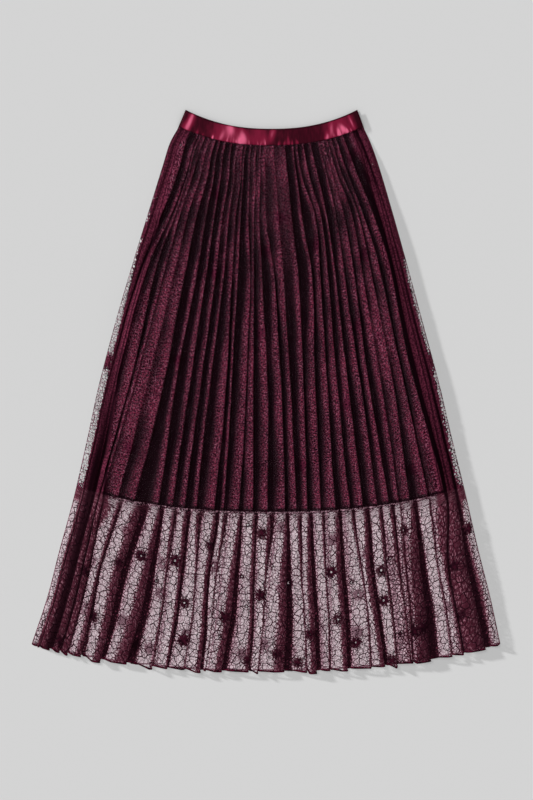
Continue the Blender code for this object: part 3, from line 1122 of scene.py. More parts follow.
class Graph:
    """A material under construction."""

    def __init__(self, name: str) -> None:
        """Start a material that holds a Principled BSDF."""
        self.material = bpy.data.materials.new(name)
        self.material.use_nodes = True
        self.tree = self.material.node_tree
        self.shader = self.tree.nodes["Principled BSDF"]

    def node(
        self, kind: str, settings: Optional[dict] = None, sockets: Optional[dict] = None
    ) -> bpy.types.Node:
        """Add any node.

        Args:
            kind: the node's type.
            settings: properties, set first.
            sockets: values or links, by socket name or number.

        Returns:
            The node.
        """
        node = self.tree.nodes.new(kind)
        for key, value in (settings or {}).items():
            setattr(node, key, value)
        for key, value in (sockets or {}).items():
            self.plug(node.inputs[key], value)
        return node

    def plug(self, target: NodeSocket, value: object) -> None:
        """Link a wire or a socket to an input, or set its value."""
        if isinstance(value, Wire):
            self.tree.links.new(value.socket, target)
        elif isinstance(value, NodeSocket):
            self.tree.links.new(value, target)
        else:
            target.default_value = value

    def value(self, name: str) -> Wire:
        """Read one number of the mesh by its attribute's name."""
        node = self.node("ShaderNodeAttribute", {"attribute_name": name})
        return Wire(self, node.outputs["Fac"])

    def place(self, output: NodeSocket, scale: tuple) -> NodeSocket:
        """Scale a place along each axis."""
        node = self.node("ShaderNodeMapping", None, {"Vector": output, "Scale": scale})
        return node.outputs[0]

    def flat_place(self, scale: float, stretch: float = 1.0) -> NodeSocket:
        """Return the place on the flat cloth, times a scale, and stretched along its length."""
        uv = self.node("ShaderNodeUVMap", {"uv_map": "flat"})
        return self.place(uv.outputs[0], (scale, scale * stretch, 1.0))

    def noise(self, place: NodeSocket, detail: float) -> Wire:
        """Add soft noise at a place, from 0 to 1."""
        sockets = {"Vector": place, "Scale": 1.0, "Detail": detail}
        return Wire(self, self.node("ShaderNodeTexNoise", None, sockets).outputs["Fac"])

    def cloud(self, scale: float, stretch: float = 1.0, detail: float = 2.0) -> Wire:
        """Add soft noise on the flat cloth, from 0 to 1."""
        return self.noise(self.flat_place(scale, stretch), detail)

    def cloud_in_space(self, scale: tuple, detail: float) -> Wire:
        """Add soft noise in the object's own space, from 0 to 1."""
        space = self.node("ShaderNodeTexCoord").outputs["Object"]
        return self.noise(self.place(space, scale), detail)

    def cell_edge(self, place: NodeSocket, randomness: float) -> Wire:
        """Return the distance to the nearest edge of a net of uneven cells."""
        node = self.node(
            "ShaderNodeTexVoronoi",
            {"voronoi_dimensions": "2D", "feature": "DISTANCE_TO_EDGE"},
            {"Vector": place, "Scale": 1.0, "Randomness": randomness},
        )
        return Wire(self, node.outputs["Distance"])

    def mix(self, factor: Operand, first: object, second: object) -> NodeSocket:
        """Mix two colours."""
        node = self.node("ShaderNodeMix", {"data_type": "RGBA"}, {0: factor, 6: first, 7: second})
        return node.outputs[2]

    def bump(self, height: Operand, strength: float, distance: float) -> NodeSocket:
        """Turn a height into a normal."""
        sockets = {"Height": height, "Strength": strength, "Distance": distance}
        return self.node("ShaderNodeBump", None, sockets).outputs[0]

    def finish(self, **sockets: object) -> Material:
        """Fill the Principled BSDF's sockets, named with underscores, and return the material."""
        for key, value in sockets.items():
            self.plug(self.shader.inputs[key.replace("_", " ")], value)
        return self.material


@dataclass(frozen=True)
class NetFinish:
    """The fine ground net of the lace: uneven cells of thin plum threads, with holes at eyelets."""

    cell: float = 5.4 * MM
    uneven: float = 0.95
    cloud: float = 38 * MM
    waver: float = 7 * MM
    spark: float = 2.4 * MM
    grain: float = 2.9 * MM
    lit_patch: float = 17 * MM
    thin: float = 0.008
    patch: float = 0.055
    thick: float = 0.27
    soft: float = 0.024
    veil: float = 0.16
    close_veil: float = 0.50
    hole: float = 1.9 * MM
    star_near: float = 5.0 * MM
    star_far: float = 13.0 * MM
    star_shade: float = 0.75
    veil_tone: tuple = srgb(255, 200, 220)
    close_veil_tone: tuple = srgb(88, 38, 54)
    open_tone: tuple = srgb(46, 18, 30)
    close_tone: tuple = srgb(84, 34, 49)
    lined_tone: tuple = srgb(24, 4, 13)
    lined_glint: tuple = srgb(146, 82, 106)
    side_shade: tuple = srgb(36, 8, 19)
    side_glint: tuple = srgb(114, 46, 68)
    gathers: float = 150.0
    glint: tuple = srgb(192, 132, 150)
    fold_shade: tuple = srgb(20, 2, 9)
    open_fold_shade: tuple = srgb(36, 12, 21)
    roughness: float = 0.85

    def make(self) -> Material:
        """Build the material.

        Alpha is 1 where the nearest cell edge is closer than half a thread, which grows with how closely
        the net is gathered and wanders, and 0 inside an eyelet.
        """
        graph = Graph("lace_net")
        edge = graph.cell_edge(graph.flat_place(1 / self.cell), self.uneven)
        cloud = graph.cloud(1 / self.cloud, 0.45)
        reach, near, star = self._motif(graph)
        round_star = (1 - reach.fade(self.star_near ** 2, self.star_far ** 2)) * near * star
        dense = graph.value("dense") + (cloud - 0.5) * 0.30
        dense = dense.max(round_star * 0.9).max(-0.08)
        width = graph.cloud(1 / self.waver, detail=3.0)
        half = (dense * (self.thick - self.thin) + self.thin) * (width * 0.8 + 0.6)
        half = half + width.fade(0.48, 0.66) * self.patch
        alpha = 1 - (edge - half).fade(0.0, self.soft)
        hole = reach.below(self.hole ** 2) * near.fade(0.45, 0.55) * graph.value("hole")
        depth = graph.value("depth")
        lined = graph.value("lined")
        # an eyelet over the lining is drawn opaque in the painted shade colour, as the shade in its hole
        dot = hole * lined
        alpha = (alpha * (1 - hole)).max(dot)
        tone = graph.mix(dense.fade(0.15, 0.7), self.open_tone, self.close_tone)
        spark = graph.cloud(1 / self.spark, 0.45, 1.0)
        grain = graph.cloud(1 / self.grain, detail=0.0)
        over_lining = graph.mix(grain.fade(0.54, 0.60), self.lined_tone, self.lined_glint)
        # at the closed sides, streaks across paint the shade and light of fine gathers, dark in their
        # valleys and light on their ridges
        across = graph.node("ShaderNodeCombineXYZ", None, {0: graph.value("share") * self.gathers})
        gather = graph.noise(across.outputs[0], 2.0)
        gathered = gather.fade(0.36, 0.54) * (grain.fade(0.46, 0.56) * 0.75 + 0.25)
        at_side = graph.mix(gathered, self.side_shade, self.side_glint)
        over_lining = graph.mix(dense.fade(0.7, 1.3), over_lining, at_side)
        # painted glints of light on the closer net, and a painted highlight on the crests, where depth is
        # below 0
        patch = graph.cloud(1 / self.lit_patch, 0.5)
        lit = spark.fade(0.50, 0.68) * patch.fade(0.25, 0.60) * (dense.fade(0.1, 0.5) * 0.75)
        lit = (lit + (0 - depth).max(0) * 0.35).min(1)
        tone = graph.mix(lit, tone, self.glint)
        tone = graph.mix(lined, tone, over_lining)
        # painted shade: in the folds, over eyelets on the lining, and darker round the stars
        shaded = depth.shade(1.05).max(dot).max(round_star * self.star_shade)
        fold_shade = graph.mix(lined, self.open_fold_shade, self.fold_shade)
        colour = graph.mix(shaded, tone, fold_shade)
        closing = dense.fade(0.20, 0.80)
        veil_colour = graph.mix(closing, self.veil_tone, self.close_veil_tone)
        colour = graph.mix(alpha, veil_colour, colour)
        veil = (closing * self.close_veil + depth.max(0) * 0.35 + self.veil).min(1)
        alpha = alpha.max((1 - hole) * (1 - lined * 2).max(0) * veil)
        normal = graph.bump(1 - edge, 0.4, 0.3 * MM)
        return graph.finish(
            Base_Color=colour,
            Roughness=self.roughness,
            Alpha=alpha,
            Normal=normal,
            Specular_IOR_Level=0.02,
        )

    @staticmethod
    def _motif(graph: Graph) -> tuple[Wire, Wire, Wire]:
        """Read the squared distance to the nearest motif, whether it is near, and its star."""
        offset = graph.node("ShaderNodeAttribute", {"attribute_name": "motif"})
        parts = graph.node("ShaderNodeSeparateXYZ", None, {0: offset.outputs["Vector"]})
        side, ahead, near = [Wire(graph, output) for output in parts.outputs]
        return side * side + ahead * ahead, near, graph.value("star")


@dataclass(frozen=True)
class ThreadFinish:
    """Solid plum thread: the heavy lines of the lace, its stars, rings and hems."""

    name: str
    light: tuple = srgb(54, 18, 31)
    dark: tuple = srgb(32, 9, 18)
    lined: tuple = srgb(98, 33, 57)
    fold_shade: tuple = srgb(20, 2, 9)
    grain: float = 0.9 * MM
    roughness: float = 0.8

    def make(self) -> Material:
        """Build the material: two plum tones mixed by noise, painted shade in the folds and a twisted
        grain.
        """
        graph = Graph(self.name)
        tone = graph.cloud_in_space((160, 160, 160), 3.0)
        grain = graph.cloud_in_space((1 / self.grain,) * 3, 1.0)
        colour = graph.mix(tone.fade(0.35, 0.65), self.dark, self.light)
        colour = graph.mix(graph.value("lined") * 0.9, colour, self.lined)
        colour = graph.mix(graph.value("depth").shade(1.0), colour, self.fold_shade)
        return graph.finish(
            Base_Color=colour,
            Roughness=self.roughness,
            Normal=graph.bump(grain, 0.6, 0.3 * MM),
            Specular_IOR_Level=0.03,
        )


@dataclass(frozen=True)
class LiningFinish:
    """The burgundy lining: close plain weave with a soft shine, with painted shade in the folds and painted
    highlights on the crests.
    """

    face: tuple = srgb(132, 44, 72)
    speck_tone: tuple = srgb(24, 0, 10)
    # crest is a painted highlight
    crest: tuple = srgb(134, 66, 88)
    fold_shade: tuple = srgb(15, 0, 5)
    weave: float = 0.55 * MM
    speck: float = 3.1 * MM

    def make(self) -> Material:
        """Build the material: slow colour changes and a fine speck, a plain weave as bump, painted shade in
        the folds and painted highlights on the crests.
        """
        graph = Graph("lining_cloth")
        slow = graph.cloud(22.0, 0.4, 3.0)
        speck = graph.cloud(1 / self.speck, detail=0.0).fade(0.45, 0.55)
        # the face is mixed with a darker tone by a slow cloud and a fine speck
        face = graph.mix(slow.fade(0.30, 0.70) * 0.3 + speck * 0.7, self.speck_tone, self.face)
        depth = graph.value("depth")
        # painted highlight on the crests, where depth is below 0
        face = graph.mix((0 - depth).max(0).min(1), face, self.crest)
        colour = graph.mix(depth.shade(1.05), face, self.fold_shade)
        place = graph.flat_place(1 / self.weave / 6.28)
        sockets = {"Vector": place, "Scale": 1.0, "Distortion": 0.6, "Detail": 1.0}
        weave = graph.node("ShaderNodeTexWave", {"wave_type": "BANDS"}, sockets)
        crease = graph.cloud(60.0, 0.25, 4.0)
        height = Wire(graph, weave.outputs["Fac"]) * 0.25 + crease
        rough = 0.55 + slow * 0.16
        return graph.finish(
            Base_Color=colour,
            Roughness=rough,
            Normal=graph.bump(height, 0.25, 0.5 * MM),
            Specular_IOR_Level=0.06,
        )


@dataclass(frozen=True)
class SatinFinish:
    """The waistband's satin: glossy burgundy, with sheen and highlights painted where the cloth swells."""

    deep: tuple = srgb(46, 2, 16)
    middle: tuple = srgb(124, 22, 52)
    painted_highlight: tuple = srgb(226, 100, 136)

    def make(self) -> Material:
        """Build the material: three tones by the swell of the cloth, the deep one its own and the others
        painted sheen and highlight, fine streaks and a weave.
        """
        graph = Graph("band_satin")
        streak = graph.cloud_in_space((260, 70, 70), 3.0)
        # the shine value paints sheen and highlights onto the satin; fine streaks vary it
        shine = graph.value("shine") + (streak - 0.5) * 0.22
        colour = graph.mix(shine.fade(0.0, 0.45), self.deep, self.middle)
        colour = graph.mix(shine.fade(0.42, 1.05), colour, self.painted_highlight)
        weave = graph.cloud_in_space((1500, 400, 400), 1.0)
        return graph.finish(
            Base_Color=colour,
            Roughness=0.34 + streak * 0.14,
            Normal=graph.bump(streak + weave * 0.3, 0.12, 0.4 * MM),
            Specular_IOR_Level=0.05,
            Anisotropic=0.4,
        )


@dataclass(frozen=True)
class FloorFinish:
    """The pale grey ground."""

    tone: tuple = srgb(220, 220, 220)

    def make(self) -> Material:
        """Build the material."""
        graph = Graph("studio_floor")
        return graph.finish(Base_Color=self.tone, Roughness=0.95, Specular_IOR_Level=0.1)


# --- trims drawn on the flat cloth -------------------------------------------------------------


@dataclass(frozen=True)
class Motif:
    """A sewn star or an eyelet, placed by the chart: 2800ths of the width, share of the length.

    eyelet and star are diameters in millimetres, or 0 for none.
    """

    across: float
    down: float
    eyelet: float = 0.0
    star: float = 0.0
    points: int = 5
    turn: float = 0.0


MOTIFS = tuple(Motif(*row) for row in (
    (535, 0.797, 2.8, 23, 6, 0.1), (765, 0.798, 3.6, 23, 5, 0.4), (195, 0.845, 0.0, 22, 5, 0.2),
    (855, 0.876, 3.2, 14, 5, 0.7), (880, 0.947, 0.0, 27, 6, 0.3), (598, 0.966, 0.0, 24, 5, 0.5),
    (1122, 0.900, 0.0, 24, 5, 0.9), (1348, 0.856, 0.0, 24, 5, 0.1), (1000, 0.766, 0.0, 18, 5, 0.6),
    (402, 0.817, 0.0, 17, 5, 0.2), (302, 0.925, 0.0, 20, 6, 0.8), (1345, 0.738, 0.0, 15, 5, 0.3),
    (1293, 0.978, 0.0, 22, 5, 0.4), (155, 0.980, 0.0, 24, 5, 0.0), (1242, 0.722, 3.6),
    (1220, 0.820, 3.4), (1256, 0.877, 3.4), (660, 0.840, 3.8), (1102, 0.935, 3.2), (765, 0.880, 3.2),
    (1420, 0.800, 3.2), (1530, 0.833, 4.0, 18, 5, 0.2), (1816, 0.815, 4.4, 26, 5, 0.6),
    (2148, 0.820, 4.2, 10, 6, 0.1), (2138, 0.877, 3.4, 21, 5, 0.8), (1945, 0.837, 4.0),
    (1942, 0.952, 3.2, 23, 6, 0.4), (1512, 0.908, 4.0), (1838, 0.905, 4.0, 11, 5, 0.5),
    (1462, 0.966, 0.0, 21, 5, 0.9), (1588, 0.985, 0.0, 16, 5, 0.3), (2328, 0.751, 4.0, 10, 6, 0.7),
    (2300, 0.943, 0.0, 27, 5, 0.0), (2362, 0.938, 0.0, 25, 6, 0.5), (2425, 0.768, 0.0, 15, 5, 0.2),
    (2620, 0.836, 0.0, 23, 5, 0.1), (2598, 0.929, 3.4, 16, 5, 0.6), (2760, 0.775, 0.0, 20, 5, 0.3),
    (2150, 0.990, 0.0, 16, 5, 0.8), (1660, 0.930, 0.0, 20, 5, 0.4), (2216, 0.944, 3.8),
    (2216, 0.800, 3.4), (720, 0.100, 3.0, 11, 5, 0.1), (455, 0.247, 3.0),
    (1335, 0.203, 3.4, 11, 5, 0.4), (1515, 0.137, 3.4, 10, 5, 0.2), (1915, 0.192, 3.0, 14, 5, 0.7),
    (840, 0.250, 3.0, 12, 5, 0.3), (1310, 0.357, 3.0, 11, 5, 0.8), (2385, 0.225, 3.0, 12, 5, 0.5),
    (2200, 0.356, 3.0, 13, 5, 0.1), (2030, 0.500, 3.4, 11, 5, 0.6), (2330, 0.540, 3.2),
    (2520, 0.040, 3.4, 12, 5, 0.0), (2390, 0.380, 3.0), (590, 0.420, 3.0, 11, 5, 0.2),
    (1060, 0.560, 3.2), (1640, 0.610, 3.2, 12, 5, 0.9), (330, 0.600, 3.0, 12, 5, 0.5),
    (2455, 0.640, 3.0, 12, 5, 0.3),
))


@dataclass
class Drawing:
    """Meshes drawn on the flat cloth, gathered until they are carried onto it."""

    flats: list = field(default_factory=list)
    lifts: list = field(default_factory=list)
    faces: list = field(default_factory=list)
    count: int = 0

    def add(self, flat: Array, lift: Array, faces: Array) -> None:
        """Add points on the flat cloth, their lifts and their faces."""
        self.flats.append(flat)
        self.lifts.append(np.broadcast_to(lift, (len(flat),)))
        self.faces.append(faces + self.count)
        self.count += len(flat)

    def carry(self, name: str, cloth: Cloth) -> Object:
        """Carry everything onto a cloth as one object, with the cloth's painted shade, named depth, at each
        point.
        """
        flat = np.concatenate(self.flats)
        points, depth = cloth.carry(flat, np.concatenate(self.lifts))
        piece = make_object(name, points, np.concatenate(self.faces))
        give_value(piece, "depth", depth)
        give_value(piece, "lined", lined_at(-flat[:, 1] / cloth.length))
        return piece


def lined_at(down: Array) -> Array:
    """Return 1 where the lining lies under the lace and 0 below the lining's hem."""
    start, end = (CHART.lining_ends + past for past in PAST_HEM)
    return 1 - smoothstep(start, end, down)


def ribbon_strips(lines: Array, widths: Array, lift: float, ridge: float) -> tuple:
    """Give flat lines a width, square to them, as strips with or without a raised middle.

    Args:
        lines: lines, points, and u and v.
        widths: one width for each line.
        lift: height of the sides above the cloth.
        ridge: how much higher the middle is, or 0 for a strip without a middle.

    Returns:
        Places on the flat cloth, lifts and quads.
    """
    along = np.gradient(lines, axis=1)
    along /= np.linalg.norm(along, axis=2, keepdims=True) + 1e-12
    square = np.stack([-along[..., 1], along[..., 0]], axis=2) * widths[:, None, None] / 2
    if ridge:
        rails = np.stack([lines - square, lines, lines + square], axis=2)
        lifts = np.broadcast_to(np.array([lift, lift + ridge, lift]), rails.shape[:3])
    else:
        rails = np.stack([lines - square, lines + square], axis=2)
        lifts = np.full(rails.shape[:3], lift)
    count, steps, wide, _ = rails.shape
    index = np.arange(count * steps * wide).reshape(count, steps, wide)
    ahead, behind = index[:, 1:], index[:, :-1]
    quads = np.stack([behind[..., :-1], ahead[..., :-1], ahead[..., 1:], behind[..., 1:]], axis=3)
    return rails.reshape(-1, 2), lifts.ravel(), quads.reshape(-1, 4)


@dataclass
class CrackleLines:
    """The heavy lines of the lace: the edges between uneven cells on the flat cloth."""

    thick: float
    seed: int
    cell: float = 12.5 * MM
    uneven: float = 0.42
    steps: int = 4
    ring: float = 3.6 * MM

    def lines(self, cloth: Cloth) -> Array:
        """Work out the lines between the cells, whose centres are a jittered hexagonal lattice.

        The lines join the circumcentres of neighbouring triangles between those centres.

        Args:
            cloth: the cloth whose flat layout is filled.

        Returns:
            Lines, points, and u and v.
        """
        rng = np.random.default_rng(self.seed)
        half = cloth.width.max() / 2 + 2 * self.cell
        u = np.arange(-half, half, self.cell)
        v = np.arange(-cloth.length - 2 * self.cell, 2 * self.cell, self.cell * 0.87)
        grid_u, grid_v = np.meshgrid(u, v)
        grid_u[1::2] += self.cell / 2
        centres = np.stack([grid_u.ravel(), grid_v.ravel()], axis=1)
        inside = np.abs(centres[:, 0]) < cloth.width_at(centres[:, 1]) / 2 + 2 * self.cell
        centres = centres[inside]
        centres += rng.uniform(-1, 1, centres.shape) * self.uneven * self.cell
        found = delaunay_2d_cdt([Vector(centre) for centre in centres], [], [], 0, 1e-7, False)
        corners = np.array([list(vert) for vert in found[0]])
        triangles = np.array([face for face in found[2] if len(face) == 3])
        middle = self._circumcentres(corners[triangles])
        edges = np.sort(np.concatenate([triangles[:, [0, 1]], triangles[:, [1, 2]],
                                        triangles[:, [2, 0]]]), axis=1)
        owner = np.tile(np.arange(len(triangles)), 3)
        order = np.lexsort((edges[:, 1], edges[:, 0]))
        edges = edges[order]
        owner = owner[order]
        shared = np.nonzero((edges[1:] == edges[:-1]).all(axis=1))[0]
        start = middle[owner[shared]]
        end = middle[owner[shared + 1]]
        span = np.linalg.norm(end - start, axis=1)
        good = (span > 0.06 * self.cell) & (span < 2.5 * self.cell)
        start = start[good]
        end = end[good]
        s = np.linspace(0, 1, self.steps)[None, :, None]
        lines = start[:, None] * (1 - s) + end[:, None] * s
        square = np.stack([start[:, 1] - end[:, 1], end[:, 0] - start[:, 0]], axis=1)
        bow = rng.uniform(-0.12, 0.12, (len(lines), 1, 1)) * np.sin(math.pi * s)
        lines = lines + square[:, None] * bow
        room = cloth.width_at(lines[..., 1].ravel()).reshape(lines.shape[:2]) / 2
        fits = np.abs(lines[..., 0]) < room
        fits &= (lines[..., 1] < 0) & (lines[..., 1] > -cloth.length)
        return lines[fits.all(axis=1)]

    @staticmethod
    def _circumcentres(corners: Array) -> Array:
        """Return each triangle's circumcentre, from the squared lengths of two of its sides."""
        a = corners[:, 0]
        b = corners[:, 1] - a
        c = corners[:, 2] - a
        area = 2 * (b[:, 0] * c[:, 1] - b[:, 1] * c[:, 0]) + 1e-15
        b2 = (b ** 2).sum(axis=1)
        c2 = (c ** 2).sum(axis=1)
        x = (c[:, 1] * b2 - b[:, 1] * c2) / area
        y = (b[:, 0] * c2 - c[:, 0] * b2) / area
        return a + np.stack([x, y], axis=1)

    def make(self, name: str, cloth: Cloth, holes: Array, ridge: float) -> Object:
        """Build the lines as one object, stopped at the rings of the eyelets.

        Args:
            name: the piece's name.
            cloth: the cloth that they lie on.
            holes: the eyelets' centres on the flat cloth.
            ridge: how much the middle of a line is raised.

        Returns:
            The object.
        """
        lines = self.lines(cloth)
        for hole in holes:
            away = lines - hole
            reach = np.linalg.norm(away, axis=2, keepdims=True)
            pushed = hole + away / (reach + 1e-9) * self.ring
            lines = np.where(reach < self.ring, pushed, lines)
        rng = np.random.default_rng(self.seed + 1)
        widths = self.thick * rng.uniform(0.6, 1.35, len(lines))
        widths *= 1 - 0.55 * lined_at(-lines[:, 0, 1] / cloth.length)
        drawing = Drawing()
        drawing.add(*ribbon_strips(lines, widths, 0.15 * MM, ridge))
        LOG.info("%s: %d lines", name, len(lines))
        return drawing.carry(name, cloth)


@dataclass
class MotifWork:
    """Rings round the eyelets, and stars with threads that run out from them."""

    cloth: Cloth
    side: Side
    seed: int
    back_shift: float = 0.013
    back_rise: float = 0.985
    back_lowest: float = 0.97
    ring_inner: float = 1.02
    ring_width: float = 1.7 * MM
    sides: int = 22
    star_sides: int = 72
    star_legs: int = 22
    ring_legs: int = 9
    placed: list = field(init=False)

    def __post_init__(self) -> None:
        """Find each motif's centre on the flat cloth; the back has the turned table."""
        self.placed = []
        for motif in MOTIFS:
            share = motif.across / CHART.across
            down = motif.down
            if self.side is Side.BACK:
                share = 1.0 - share + self.back_shift
                down = min(down * self.back_rise, self.back_lowest)
            self.placed.append((motif, self.cloth.find(share, down)))

    def rings(self) -> Object:
        """Build all rings as one object: a raised band round each eyelet."""
        drawing = Drawing()
        for motif, centre in self.placed:
            if motif.eyelet:
                inner = motif.eyelet / 2 * MM * self.ring_inner
                radii = inner + self.ring_width * np.array([0.0, 0.3, 0.7, 1.0])
                lifts = np.array([0.1, 0.55, 0.55, 0.12]) * MM
                self._disc(drawing, centre, np.tile(radii, (self.sides, 1)), lifts)
        return drawing.carry(f"lace_{self.side.value}_rings", self.cloth)

    def stars(self) -> Object:
        """Build all stars as one object.

        A star's radius falls from 1 at a tip to 0.4 between tips, by the power 1.5 of the distance from
        the tip, with a fine ragged edge.
        """
        rng = np.random.default_rng(self.seed)
        drawing = Drawing()
        for motif, centre in self.placed:
            if not motif.star:
                continue
            tip = motif.star / 2 * MM
            hole = (motif.eyelet / 2 + 0.9) * MM if motif.eyelet else 0.25 * MM
            turns = np.arange(self.star_sides) / self.star_sides
            phase = (turns * motif.points + motif.turn) % 1.0
            from_tip = np.abs(phase - 0.5) * 2
            lengths = rng.uniform(0.75, 1.15, motif.points + 1)
            petal = ((turns * motif.points + motif.turn) % motif.points).astype(int)
            outer = tip * (0.40 + 0.60 * (1 - from_tip) ** 1.5 * lengths[petal])
            outer *= 1 + 0.10 * rng.uniform(-1, 1, self.star_sides)
            outer = np.maximum(outer, hole * 1.15)
            parts = np.array([0.0, 0.35, 0.75, 1.0])
            radii = hole + (outer - hole)[:, None] * parts
            lifts = np.array([0.25, 0.85, 0.65, 0.2]) * MM
            self._disc(drawing, centre, radii, lifts)
        return drawing.carry(f"lace_{self.side.value}_stars", self.cloth)

    def spokes(self) -> Object:
        """Build the threads that run out from stars and rings as one object."""
        rng = np.random.default_rng(self.seed + 1)
        drawing = Drawing()
        for motif, centre in self.placed:
            legs = self.star_legs if motif.star else self.ring_legs
            inner = max(motif.eyelet / 2 + 1.0, motif.star * 0.22) * MM
            reach = (motif.star * 0.5 + 10.0) * MM if motif.star else 9.0 * MM
            angle = (np.arange(legs) + rng.uniform(-0.3, 0.3, legs)) * 2 * math.pi / legs
            length = reach * rng.uniform(0.6, 1.25, legs)
            s = np.linspace(0, 1, 6)[None, :]
            radius = inner + (length[:, None] - inner) * s
            swing = angle[:, None] + rng.uniform(-0.22, 0.22, (legs, 1)) * s
            lines = centre + np.stack([np.cos(swing) * radius, np.sin(swing) * radius], axis=2)
            widths = rng.uniform(0.5, 1.0, legs) * MM
            drawing.add(*ribbon_strips(lines, widths, 0.2 * MM, 0.2 * MM))
        return drawing.carry(f"lace_{self.side.value}_spokes", self.cloth)

    @staticmethod
    def _disc(drawing: Drawing, centre: Array, radii: Array, lifts: Array) -> None:
        """Add rings of points round a centre, one radius for each side and ring."""
        sides, rings = radii.shape
        angle = np.arange(sides)[:, None] * 2 * math.pi / sides
        flat = centre + np.stack([np.cos(angle) * radii, np.sin(angle) * radii], axis=2)
        index = np.arange(sides * rings).reshape(sides, rings)
        after = np.roll(index, -1, axis=0)
        quads = np.stack([index[:, :-1], index[:, 1:], after[:, 1:], after[:, :-1]], axis=2)
        drawing.add(flat.reshape(-1, 2), np.tile(lifts, sides), quads.reshape(-1, 4))


def tube(path: Array, radius: Array, sides: int, flatten: float = 1.0) -> tuple:
    """Carry a round profile along a path that runs mostly across the skirt.

    The profile stands on the path's direction crossed with +Y, and on that crossed with it again.

    Args:
        path: points along the middle.
        radius: the profile's radius at each point.
        sides: points round it.
        flatten: its height as a share of its width.

    Returns:
        Points and quads. The end rings are drawn together.
    """
    along = np.gradient(path, axis=0)
    along /= np.linalg.norm(along, axis=1, keepdims=True) + 1e-12
    up = np.cross(along, np.array([0.0, 1.0, 0.0]))
    up /= np.linalg.norm(up, axis=1, keepdims=True) + 1e-12
    out = np.cross(up, along)
    angle = np.arange(sides) * 2 * math.pi / sides
    size = np.array(radius, float)
    size[[0, -1]] *= 0.02
    wide = np.cos(angle)[None, :, None] * out[:, None]
    high = flatten * np.sin(angle)[None, :, None] * up[:, None]
    points = path[:, None] + (wide + high) * size[:, None, None]
    return points.reshape(-1, 3), loop_faces(len(path), sides)


# --- sub-assemblies ----------------------------------------------------------------------------


def declare(piece: Object, slot: str, *nodes: str) -> None:
    """Put a piece on the skirt's body and hide the solids that it stands for."""
    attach(piece, BODY)
    if nodes:
        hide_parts(*nodes)


def triangles(piece: Object) -> int:
    """Count a piece's triangles."""
    return sum(len(face.vertices) - 2 for face in piece.data.polygons)


@dataclass
class LaceLayer:
    """One side of the lace: ground net, heavy lines, motifs and rolled hem."""

    side: Side
    cloth: Cloth
    rests_on: tuple
    hem_radius: float = 1.6 * MM
    near: float = 17.0 * MM

    def build(self, net: Material, thread: Material, star: Material, hem_finish: Material) -> None:
        """Args:
            net: the ground net's material.
            thread: the heavy lines' material.
            star: the motifs' material.
            hem_finish: the rolled hem's material.
        """
        front = self.side is Side.FRONT
        work = MotifWork(self.cloth, self.side, 8 if front else 18)
        lines = CrackleLines((1.25 if front else 0.7) * MM, 3 if front else 13)
        holes = np.array([centre for motif, centre in work.placed if motif.eyelet])
        ridge = 0.25 * MM if front else 0.0
        sheet = self._ground(work.placed)
        pieces = (
            (sheet, net),
            (lines.make(f"lace_{self.side.value}_lines", self.cloth, holes, ridge), thread),
            (work.rings(), star),
            (work.stars(), star),
            (work.spokes(), thread),
            (self._hem(), hem_finish),
        )
        for piece, finish in pieces:
            piece.data.materials.append(finish)
            piece.visible_shadow = front
            piece.visible_diffuse = False
            nodes = (f"lace_{self.side.value}",) if piece is sheet else ()
            declare(piece, "lace", *nodes)
            LOG.info("%s: %d triangles", piece.name, triangles(piece))
        width = float(self.cloth.width.max())
        self.cloth.flat_area()

    def _ground(self, found: list) -> Object:
        """Build the ground net's sheet, with the offset to the nearest motif on each point."""
        rows, columns, _ = self.cloth.points.shape
        points = self.cloth.points.reshape(-1, 3)
        piece = make_object(f"lace_{self.side.value}_net", points, grid_faces(rows, columns))
        flat = self.cloth.flat().reshape(-1, 2)
        give_uv(piece, flat)
        lined = np.broadcast_to(lined_at(self.cloth.down)[:, None], (rows, columns))
        give_value(piece, "depth", self.cloth.depth)
        give_value(piece, "dense", self.cloth.dense)
        give_value(piece, "share", self.cloth.shares)
        give_value(piece, "lined", lined)
        centres = np.array([centre for _, centre in found])
        away = flat[:, None] - centres[None]
        nearest = np.argmin((away ** 2).sum(axis=2), axis=1)
        offset = away[np.arange(len(flat)), nearest]
        close = np.linalg.norm(offset, axis=1) < self.near
        stars = np.array([float(motif.star > 0) for motif, _ in found])
        holes = np.array([float(motif.eyelet > 0) for motif, _ in found])
        give_value(piece, "motif", np.column_stack([offset, close]), "FLOAT_VECTOR")
        give_value(piece, "star", stars[nearest] * close)
        give_value(piece, "hole", holes[nearest] * close)
        return piece

    def _hem(self) -> Object:
        """Build the rolled hem: a thin uneven roll along the last row of the cloth."""
        path = self.cloth.points[-1].copy()
        path[:, 2] = np.maximum(path[:, 2], self.hem_radius * 0.7)
        rng = np.random.default_rng(31)
        ripple = wander(1, np.linspace(0, 1, len(path)), rng, (61.0, 97.0, 143.0))[:, 0]
        points, quads = tube(path, self.hem_radius * (1 + 0.28 * ripple), 6, 0.65)
        return make_object(f"lace_{self.side.value}_hem", points, quads)


